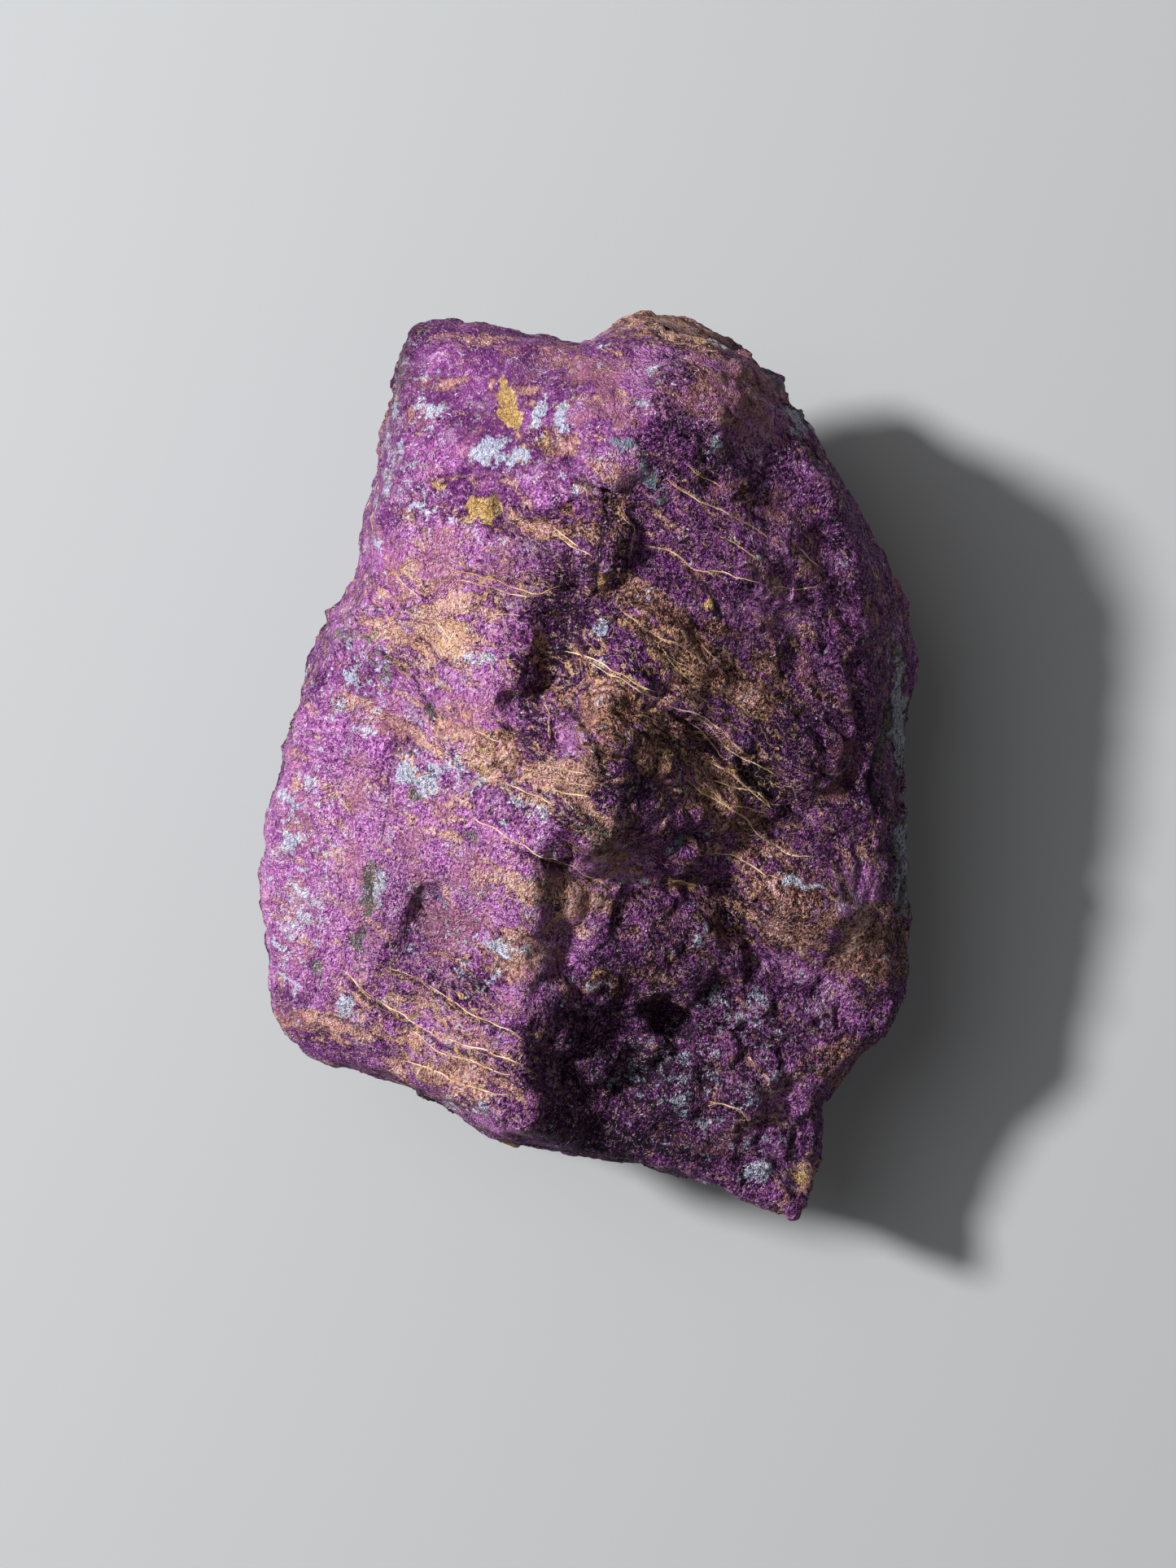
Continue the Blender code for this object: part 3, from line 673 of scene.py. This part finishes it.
class Ground:
    """The surface before its relief, with its pixels and its places along the bands."""

    def __init__(self, mesh):
        self.points = read_vectors(mesh.vertices, "co")
        self.normals = read_vectors(mesh.vertex_normals, "vector")
        self.bands = band_places(self.points)
        self.seen = step(self.normals[:, 2], *SHOWN_SLOPES)
        self.px, self.py = photo_place(self.points)
        true_x, true_y = (stray(self.points, TRUE_STRAY, seed) for seed in TRUE_STRAY_SEEDS)
        self.true_px, self.true_py = self.px + true_x, self.py + true_y
        self.stray_x, self.stray_y = (
            stray(self.points, ZONE_STRAY, seed) for seed in ZONE_STRAY_SEEDS
        )

    def zone(self, ovals, hidden, share=1.0):
        """A zone's ovals where the photo shows the stone, and elsewhere noise."""
        px = self.true_px + share * self.stray_x
        py = self.true_py + share * self.stray_y
        return self.seen * oval_field(px, py, ovals) + (1 - self.seen) * hidden

    def streaks(self, size, seed, stretch):
        """Noise drawn out along the bands."""
        return smooth_noise(self.bands / np.array((stretch, 1.0, 1.0)), size, seed)

    def hidden(self, size, stretch, seed, low, high, strength):
        """The noise of a zone where the photo doesn't show the stone."""
        if stretch:
            pattern = self.streaks(size, seed, stretch)
        else:
            pattern = smooth_noise(self.points, size, seed)
        return strength * step(pattern, low, high)


def swells(ground, size, seed):
    return smooth_noise(ground.points, size, seed, 3)


def crumbs(ground, size, seed):
    """Packed rounded crumbs, from nought between them to one."""
    places = noise_places(ground.points, size, seed)
    nearest = np.array([noise.voronoi(place)[0][0] for place in places])
    return 1.0 - np.clip(nearest / CRUMB_REACH, 0.0, 1.0) ** 2


def chips(ground, size, seed):
    """Small flat facets of broken rock, each tilted its own way."""
    heights = []
    for place in noise_places(ground.bands / np.array((CHIP_STRETCH, 1.0, 1.0)), size, seed):
        centre = noise.voronoi(place)[1][0]
        tilt = 2 * noise.cell_vector(centre * CHIP_SPREAD) - Vector((1.0, 1.0, 1.0))
        heights.append(tilt.dot(Vector(place) - centre))
    return np.array(heights)


def ridges(ground, size, seed):
    return 1 - RIDGE_SLOPE * np.abs(smooth_noise(ground.points, size, seed))


def fibres(ground, size, seed):
    return ground.streaks(size, seed, FIBRE_STRETCH)


def furrows(ground, size, seed):
    """Narrow ridges along the bands."""
    return 1 - FURROW_SLOPE * np.abs(ground.streaks(size, seed, FURROW_STRETCH))


def layers(ground, size, seed):
    """Steps across the bands: a long slope, then a short drop."""
    sway = LAYER_SWAY * ground.streaks(LAYER_SWAY_SIZE, seed, LAYER_STRETCH)
    return step((ground.bands[:, 1] / size + sway) % 1.0, *LAYER_RISE)


def pocks(ground, size, seed):
    return -step(smooth_noise(ground.points, size, seed, 1), *POCK_LEVELS)


# The fine relief: kind, size and height in mm, height added where rough and where fibrous, seed
RELIEF = (
    (swells, 2.4, 0.11, 0.0, 0.0, 23),
    (swells, 0.85, 0.05, 0.10, 0.0, 24),
    (crumbs, 0.9, 0.02, 0.04, 0.0, 30),
    (crumbs, 0.55, 0.02, 0.09, 0.0, 38),
    (chips, 1.7, 0.12, 0.24, 0.0, 31),
    (ridges, 1.5, 0.0, 0.08, 0.0, 25),
    (fibres, 0.75, 0.04, 0.0, 0.13, 26),
    (furrows, 1.5, 0.0, 0.0, 0.16, 27),
    (layers, 1.9, 0.05, 0.0, 0.12, 28),
    (pocks, 1.3, 0.10, 0.18, 0.0, 29),
)


def relief(ground, rough, fibre):
    """The fine relief's height at each point, in mm."""
    height = np.zeros(len(ground.points))
    for kind, size, plain, when_rough, when_fibrous, seed in RELIEF:
        height += (plain + when_rough * rough + when_fibrous * fibre) * kind(ground, size, seed)
    return height


def shown_relief(ground):
    """The height of the relief that the photo shows, in mm."""
    px, py = ground.true_px, ground.true_py
    torn_px = px + PIT_STRAY_SHARE * ground.stray_x
    torn_py = py + PIT_STRAY_SHARE * ground.stray_y
    height = np.zeros(px.shape)
    for *place, rise in FORMS:
        height += rise / 100 * oval(ground.px, ground.py, *place)
    for *place, depth in PITS:
        height -= depth / 100 * oval(torn_px, torn_py, *place)
    for *place, rise in KNOBS:
        height += rise / 100 * oval(px, py, *place)
    for line, half_width, depth in CRACKS:
        height -= depth / 100 * line_field(px, py, line, half_width)
    for line, half_width, rise in EDGES:
        height += rise / 100 * line_field(px, py, line, half_width)
    return height * ground.seen


def crack_field(ground):
    """Painted shade in the cracks: one in them, falling off to each side."""
    field = np.zeros(len(ground.px))
    for line, half_width, depth in CRACKS:
        field = np.maximum(field, line_field(ground.true_px, ground.true_py, line, half_width))
    return field * ground.seen


def side_distance(places, start, end):
    """Distances from a stretch of line, above nought on its left and below on its right."""
    way = end - start
    from_start = places - start
    along = np.clip(from_start @ way / (way @ way), 0.0, 1.0)
    offset = from_start - along[:, None] * way
    side = np.sign(way[0] * from_start[:, 1] - way[1] * from_start[:, 0])
    return np.hypot(offset[:, 0], offset[:, 1]) * side


def end_distance(places, thread):
    """How far places lie from the nearer end of a thread."""
    from_first = np.hypot(*(places - thread[0]).T)
    from_last = np.hypot(*(places - thread[-1]).T)
    return np.minimum(from_first, from_last)


def vein_fields(ground):
    """How far each point lies beside the nearest vein in mm, and whether one is near."""
    places = np.stack(place_of_pixel(ground.px, ground.py), axis=1)
    distance = np.full(len(places), VEIN_REACH)
    inside = np.zeros(len(places))
    for line, _ in VEINS:
        thread = np.array(thread_line(line))
        low, high = thread.min(axis=0) - VEIN_REACH, thread.max(axis=0) + VEIN_REACH
        near = np.flatnonzero(((places > low) & (places < high)).all(axis=1))
        tapered = step(end_distance(places[near], thread), 0.0, VEIN_TAPER)
        for start, end in zip(thread, thread[1:]):
            away = side_distance(places[near], start, end)
            closer = np.abs(away) < np.abs(distance[near])
            distance[near[closer]] = away[closer]
            inside[near[closer]] = tapered[closer]
    share = step(np.abs(distance), VEIN_FAR, VEIN_NEAR)
    return distance, share * inside * ground.seen


def surface_fields(ground):
    """The fields painted on the stone: colours, partly painted light and shade, kinds of surface,
    crack shade and veins.
    """
    fields = {}
    for name, (ovals, share, hidden) in ZONES.items():
        fields[name] = ground.zone(ovals, ground.hidden(*hidden), share)
    middle, reach, size, seed = HIDDEN_ROUGH
    hidden_rough = middle + reach * smooth_noise(ground.points, size, seed)
    fields["rough"] = ground.zone(ROUGH_ZONES, hidden_rough, ROUGH_STRAY)
    fields["worn"] = ground.zone(WORN_ZONES, HIDDEN_WORN)
    fields["crack"] = crack_field(ground)
    fields["vein"], fields["vein_near"] = vein_fields(ground)
    return fields


def add_field(mesh, name, values):
    attribute = mesh.attributes.new(name, "FLOAT", "POINT")
    attribute.data.foreach_set("value", values.astype(np.float32))


def thin_out(piece):
    """Takes triangles away where the surface is plainest, down to the limit."""
    count = sum(len(face.vertices) - 2 for face in piece.data.polygons)
    thin = piece.modifiers.new("thin", "DECIMATE")
    thin.ratio = TRIANGLE_LIMIT / count
    evaluated = piece.evaluated_get(bpy.context.evaluated_depsgraph_get())
    whole = piece.data
    piece.data = bpy.data.meshes.new_from_object(evaluated)
    piece.modifiers.remove(thin)
    bpy.data.meshes.remove(whole)


def stone_height(ground, fields):
    """The whole relief's height at each point, in mm."""
    height = relief(ground, fields["rough"], fields["fibre"]) * (1 - WORN_LOSS * fields["worn"])
    height += shown_relief(ground)
    height += PALE_HEIGHT * fields["pale"] + TEAL_HEIGHT * fields["teal"]
    height -= GREEN_DEPTH * fields["green"]
    return height * np.clip(ground.points[:, 2] / BASE_MARGIN, 0.0, 1.0)


def make_stone():
    """The stone's visible surface, in metres."""
    mesh = fine_surface()
    ground = Ground(mesh)
    fields = surface_fields(ground)
    moved = ground.points + ground.normals * stone_height(ground, fields)[:, None]
    moved[:, 2] = np.maximum(moved[:, 2], 0.0)
    mesh.vertices.foreach_set("co", (moved * MM).ravel())
    mesh.update()
    for name, values in fields.items():
        add_field(mesh, name, values)
    bands = mesh.attributes.new("bands", "FLOAT_VECTOR", "POINT")
    bands.data.foreach_set("vector", ground.bands.astype(np.float32).ravel())
    stone = placed("purpurite_surface", mesh)
    thin_out(stone)
    stone.data.shade_smooth()
    stone.data.materials.clear()
    stone.data.materials.append(stone_material())
    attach(stone, "root")
    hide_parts(STONE)
    return stone


class Shader:
    """A material whose nodes are made one after another, with values kept by name."""

    def __init__(self, name):
        self.material = bpy.data.materials.new(name)
        self.material.use_nodes = True
        self.tree = self.material.node_tree
        self.surface = self.tree.nodes["Principled BSDF"]
        self.kept = {}

    def node(self, kind, inputs, **settings):
        made = self.tree.nodes.new("ShaderNode" + kind)
        for name, value in settings.items():
            setattr(made, name, value)
        for name, value in inputs.items():
            self.feed(made.inputs[name], value)
        return made

    def feed(self, socket, value):
        if isinstance(value, bpy.types.NodeSocket):
            self.tree.links.new(value, socket)
        else:
            socket.default_value = value

    def value(self, name):
        """The value kept by that name, or the sum or painted field of that name."""
        if name in SUMS and name not in self.kept:
            self.kept[name] = self.total(*SUMS[name])
        elif name not in self.kept:
            self.kept[name] = self.node("Attribute", {}, attribute_name=name).outputs["Fac"]
        return self.kept[name]

    def math(self, operation, first, second=0.0):
        return self.node("Math", {0: first, 1: second}, operation=operation).outputs[0]

    def vector(self, operation, first, second):
        made = self.node("VectorMath", {0: first, 1: second}, operation=operation)
        return made.outputs["Vector"]

    def total(self, start, weights):
        """The start and each named value times its weight, added up."""
        for name, weight in weights.items():
            inputs = {0: self.value(name), 1: weight, 2: start}
            start = self.node("Math", inputs, operation="MULTIPLY_ADD").outputs[0]
        return start

    def step(self, value, low, high, top=1.0):
        """Nought up to the low value, the top from the high one on, and smooth between them."""
        inputs = {"Value": value, "From Min": low, "From Max": high, "To Max": top}
        made = self.node("MapRange", inputs, interpolation_type="SMOOTHSTEP")
        return made.outputs["Result"]

    def rule(self, name):
        """How far the look of that name is set in."""
        start, weights, *levels = RULES[name]
        return self.step(self.total(start, weights), *levels)

    def look(self, name, first, second):
        """The first colour, and the second where the look of that name sets in."""
        return self.mix(self.rule(name), first, second)

    def mix(self, share, first, second):
        made = self.node("Mix", {0: share}, data_type="RGBA")
        self.feed(made.inputs[6], first)
        self.feed(made.inputs[7], second)
        return made.outputs[2]

    def blend(self, share, first, second):
        made = self.node("Mix", {0: share, 2: first, 3: second}, data_type="FLOAT")
        return made.outputs[0]

    def cover(self, body, share, strength, paint):
        return self.mix(self.math("MULTIPLY", share, strength), body, paint)

    def noise(self, place, scale, detail, roughness):
        inputs = {"Vector": place, "Scale": scale, "Detail": detail, "Roughness": roughness}
        return self.node("TexNoise", inputs)

    def channels(self, value):
        return tuple(self.node("SeparateColor", {0: value}).outputs)

    def drawn(self, bands, turn, along, across, shift):
        """Places turned from the bands' way and drawn out along it."""
        inputs = {"Vector": bands, "Angle": math.radians(turn)}
        turned = self.node("VectorRotate", inputs, rotation_type="Z_AXIS")
        scaled = self.vector("MULTIPLY", turned.outputs["Vector"], (along, across, across))
        return self.vector("ADD", scaled, tuple(shift * way for way in SHIFT_WAY))

    def near(self, value, level, width, core):
        """One about the level, and nought where the value is the width away from it."""
        away = self.math("ABSOLUTE", self.math("SUBTRACT", value, level))
        return self.step(away, width, core)

    def lines(self, value, count, width):
        """Thin lines where the value passes evenly spaced levels."""
        level = self.math("FRACT", self.math("MULTIPLY", value, count))
        return self.near(level, NOISE_MIDDLE, width, width * LINE_CORE)

    def ground(self, colours):
        """A ground's colour: painted shade in its gaps, its own colour on its grains, and painted
        light on their lit faces.
        """
        shaded_gaps, grains, lit = colours
        return self.mix(self.value("light"), self.mix(self.value("dark"), grains, shaded_gaps), lit)


def add_noises(shader):
    """Keeps each noise's value and channels, and gives places along bands that sway."""
    position = shader.node("TexCoord", {}).outputs["Object"]
    place = shader.vector("MULTIPLY", position, (1 / MM, 1 / MM, 1 / MM))
    colours = {}
    for name, settings in NOISES.items():
        made = shader.noise(place, *settings)
        shader.kept[name], colours[name] = made.outputs[0], made.outputs["Color"]
        for channel, value in zip(("red", "green", "blue"), shader.channels(colours[name])):
            shader.kept[name + "_" + channel] = value
    sway = shader.vector("SUBTRACT", colours["mottle"], (NOISE_MIDDLE,) * 3)
    bands = shader.node("Attribute", {}, attribute_name="bands").outputs["Vector"]
    return shader.vector("ADD", bands, shader.vector("MULTIPLY", sway, (MOTTLE_SWAY,) * 3))


def add_grains(shader, bands):
    """Keeps strokes that run two ways in patches, and crumbs with gaps between them."""
    kept = shader.kept
    for name, settings in STROKES.items():
        kept[name] = shader.noise(shader.drawn(bands, *settings), *STROKE_NOISE).outputs[0]
    kept["weave"] = shader.blend(shader.rule("slanted"), kept["level"], kept["slanted"])
    crumb_places = shader.drawn(bands, *CRUMB_STROKES)
    crumb = shader.node("TexVoronoi", {"Vector": crumb_places, "Scale": 1.0})
    kept["gap"] = crumb.outputs["Distance"]
    kept["shade"], kept["tinge"], kept["pick"] = shader.channels(crumb.outputs["Color"])


def add_tones(shader):
    """Keeps where painted shade darkens the grains' gaps and painted light their faces, and where
    the violet may be lighter.
    """
    kept, value = shader.kept, shader.value
    kept["sharp_grains"] = shader.math("MULTIPLY", value("grains"), value("sharpness"))
    kept["dark"] = shader.step(value("tone"), *GAP_SHADE_LEVELS, value("darkness"))
    kept["light"] = shader.rule("light")
    kept["worn_patches"] = shader.math("MULTIPLY", value("patches"), value("patchiness"))
    kept["fibrous"] = shader.math("MAXIMUM", value("fibre"), value("tan"))


def body_colour(shader):
    """Violet or brown ground, band by band and grain by grain, with the violet lighter or darker
    partly as painted light and shade.
    """
    ground, look = shader.ground, shader.look
    lighter_violet_and_painted_light = look("bloom", ground(BRIGHT_GROUND), ground(BLOOM_GROUND))
    violet = look("lighter_violet_and_painted_light", ground(VIOLET_GROUND), lighter_violet_and_painted_light)
    brown = look("light brown", ground(BRONZE_GROUND), ground(TAN_GROUND))
    return look("rose", look("brown", violet, brown), ROSE)


def add_stains(shader, body):
    """The body with its stains and crusts, painted shadow in the deepest gaps and painted shade in
    the cracks.
    """
    paints = {
        "ochre": shader.ground(OCHRE_GROUND),
        # The green stain, darker as painted shade in the gaps
        "green": shader.mix(shader.value("dark"), GREY_GREEN, GREEN_IN_GAP_SHADE),
        "crust": shader.ground(CRUST_GROUND),
        "teal": TEAL,
        "gap_shadow": SHADOW_BLACK,
        "crack": SHADOW_BLACK,
    }
    for name, paint in paints.items():
        body = shader.look(name, body, paint)
    return body


def add_fine_lines(shader, body):
    """The body with pale curls, hairs, golden threads and the veins' paint."""
    value = shader.value
    body = shader.cover(body, shader.near(value("curls"), *CURL_LINE), shader.rule("curls"), CURL)
    body = shader.cover(body, shader.lines(value("hairs"), *HAIR_LINES), shader.rule("hairs"), CREAM)
    threads = shader.lines(value("threads"), *THREAD_LINES)
    body = shader.cover(body, threads, shader.rule("threads"), GOLD)
    vein = shader.near(value("bend"), *VEIN_LINE)
    return shader.cover(body, vein, value("vein_near"), GOLD)


def stone_material():
    """Crumbly violet rock with bronze bands, pale crusts, golden fibres and glints."""
    shader = Shader("purpurite")
    surface = shader.surface
    add_grains(shader, add_noises(shader))
    add_tones(shader)
    body = add_fine_lines(shader, add_stains(shader, body_colour(shader)))
    glint = shader.math("MULTIPLY", shader.rule("glint picked"), shader.rule("glint middle"))
    body = shader.cover(body, glint, GLINT_STRENGTH, GLINT)
    shader.feed(surface.inputs["Base Color"], body)
    shader.feed(surface.inputs["Roughness"], shader.blend(glint, STONE_ROUGHNESS, GLINT_ROUGHNESS))
    for name, value in STONE_SURFACE.items():
        surface.inputs[name].default_value = value
    height = shader.math("MULTIPLY", shader.value("bumps"), shader.rule("bumpy"))
    add_bump(shader, height, *STONE_BUMP)
    return shader.material


def add_bump(shader, height, strength, distance):
    bump = shader.node("Bump", {"Height": height, "Strength": strength, "Distance": distance})
    shader.feed(shader.surface.inputs["Normal"], bump.outputs["Normal"])


def vein_material():
    """Gold with paler and duller stretches."""
    shader = Shader("golden_vein")
    position = shader.node("TexCoord", {}).outputs["Object"]
    grain = shader.noise(position, *VEIN_GRAIN).outputs[0]
    stretches = shader.noise(position, *VEIN_STRETCHES).outputs[0]
    body = shader.mix(shader.step(grain, *CREAM_LEVELS), GOLD, CREAM)
    body = shader.mix(shader.step(stretches, *DULL_LEVELS), body, DULL_GOLD)
    shader.feed(shader.surface.inputs["Base Color"], body)
    shader.surface.inputs["Roughness"].default_value = VEIN_ROUGHNESS
    add_bump(shader, grain, *VEIN_BUMP)
    return shader.material


def between(before, start, end, after, share):
    """A point on a smooth curve through the start and the end."""
    return 0.5 * (
        2 * start + (end - before) * share
        + (2 * before - 5 * start + 4 * end - after) * share ** 2
        + (3 * start - before - 3 * end + after) * share ** 3
    )


def thread_line(line):
    """Places in mm along a smooth, slightly restless line through a vein's pixels."""
    ends = [Vector(place_of_pixel(*pixel)) for pixel in points_of(line)]
    ends = [2 * ends[0] - ends[1]] + ends + [2 * ends[-1] - ends[-2]]
    places = []
    for index in range(1, len(ends) - 2):
        start, end = ends[index], ends[index + 1]
        count = max(2, round((end - start).length / THREAD_STEP))
        for part in range(count):
            places.append(between(ends[index - 1], start, end, ends[index + 2], part / count))
    places.append(ends[-2])
    return [place + restless(place) for place in places]


def restless(place):
    """The small sideways shift of a vein at a place."""
    where = Vector((place.x, place.y, 0.0)) / THREAD_WIGGLE_SIZE
    return noise.noise_vector(where).xy * THREAD_WIGGLE


def drop_on(surface, place):
    """Where the camera's ray through a place meets the surface, and the normal there."""
    eye = Vector((*photo_centre(), CAMERA_HEIGHT)) * MM
    target = Vector((place.x, place.y, SCALE_LEVEL)) * MM
    hit, normal, _, _ = surface.ray_cast(eye, (target - eye).normalized())
    return hit, normal


def add_ring(bm, centre, side, up, reach):
    """A ring of a thread's corners, flatter than it is wide."""
    ring = []
    for corner in range(THREAD_SIDES):
        angle = 2 * math.pi * corner / THREAD_SIDES
        offset = side * math.cos(angle) + up * THREAD_FLATNESS * math.sin(angle)
        ring.append(bm.verts.new(centre + offset * reach))
    return ring


def add_thread(bm, surface, line, half_width):
    """A thread on the surface along a vein's line."""
    hits = [drop_on(surface, place) for place in thread_line(line)]
    hits = [(hit, normal) for hit, normal in hits if hit is not None]
    rings = []
    last = len(hits) - 1
    for index, (hit, normal) in enumerate(hits):
        ahead = hits[min(index + 1, last)][0] - hits[max(index - 1, 0)][0]
        side = normal.cross(ahead).normalized()
        taper = min(1.0, THREAD_END + min(index, last - index) / THREAD_TAPER_STEPS)
        swell = 1.0 + THREAD_SWELL * noise.noise(hit / (THREAD_SWELL_SIZE * MM))
        reach = THREAD_WIDTH * half_width * MM * taper * swell
        rings.append(add_ring(bm, hit + normal * THREAD_LIFT * reach, side, normal, reach))
    for ring, following in zip(rings, rings[1:]):
        for corner in range(THREAD_SIDES):
            other = (corner + 1) % THREAD_SIDES
            bm.faces.new((ring[corner], ring[other], following[other], following[corner]))
    bm.faces.new(rings[0][::-1])
    bm.faces.new(rings[-1])


def make_veins(stone):
    """The golden veins, as one mesh of fine threads on the stone."""
    whole = bmesh.new()
    whole.from_mesh(stone.data)
    surface = BVHTree.FromBMesh(whole)
    whole.free()
    bm = bmesh.new()
    for line, half_width in VEINS:
        add_thread(bm, surface, line, half_width / 1000)
    bmesh.ops.recalc_face_normals(bm, faces=bm.faces)
    mesh = mesh_of(bm, "golden_veins")
    mesh.shade_smooth()
    mesh.materials.append(vein_material())
    veins = placed("golden_veins", mesh)
    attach(veins, "root")
    return veins


def make_floor():
    """A plain pale floor under the stone."""
    bm = bmesh.new()
    bmesh.ops.create_grid(bm, x_segments=1, y_segments=1, size=FLOOR_SIZE / 2)
    mesh = mesh_of(bm, "floor")
    shader = Shader("floor")
    shader.surface.inputs["Base Color"].default_value = FLOOR_COLOUR
    shader.surface.inputs["Roughness"].default_value = FLOOR_ROUGHNESS
    mesh.materials.append(shader.material)
    floor = placed("floor", mesh)


def softbox(name, direction, size, power):
    """A round light that faces the stone from a direction."""
    data = bpy.data.lights.new(name, "AREA")
    data.shape = "DISK"
    data.size = size
    data.energy = power
    light = placed(name, data)
    direction = Vector(direction).normalized()
    light.location = direction * LIGHT_DISTANCE
    light.rotation_euler = direction.to_track_quat("Z", "Y").to_euler()


def make_lights():
    """A small softbox from the left, a wide one above, and a fill."""
    softbox("key", *KEY_LIGHT)
    softbox("sky", *SKY_LIGHT)
    world = bpy.data.worlds.new("fill")
    world.use_nodes = True
    background = world.node_tree.nodes["Background"]
    background.inputs["Color"].default_value = FILL_COLOUR
    background.inputs["Strength"].default_value = FILL_STRENGTH
    bpy.context.scene.world = world
    bpy.context.scene.view_settings.view_transform = "Standard"


def make_camera():
    """Straight above the stone, at the photo's scale and framing."""
    data = bpy.data.cameras.new("camera")
    data.sensor_fit = "VERTICAL"
    data.sensor_height = SENSOR
    shown = PHOTO_SIZE[1] / PX_PER_MM
    data.lens = SENSOR * (CAMERA_HEIGHT - SCALE_LEVEL) / shown
    camera = placed("camera", data)
    camera.location = Vector((*photo_centre(), CAMERA_HEIGHT)) * MM
    bpy.context.scene.camera = camera


noise.seed_set(THREAD_WIGGLE_SEED)
make_camera()
make_lights()
make_floor()
make_veins(make_stone())
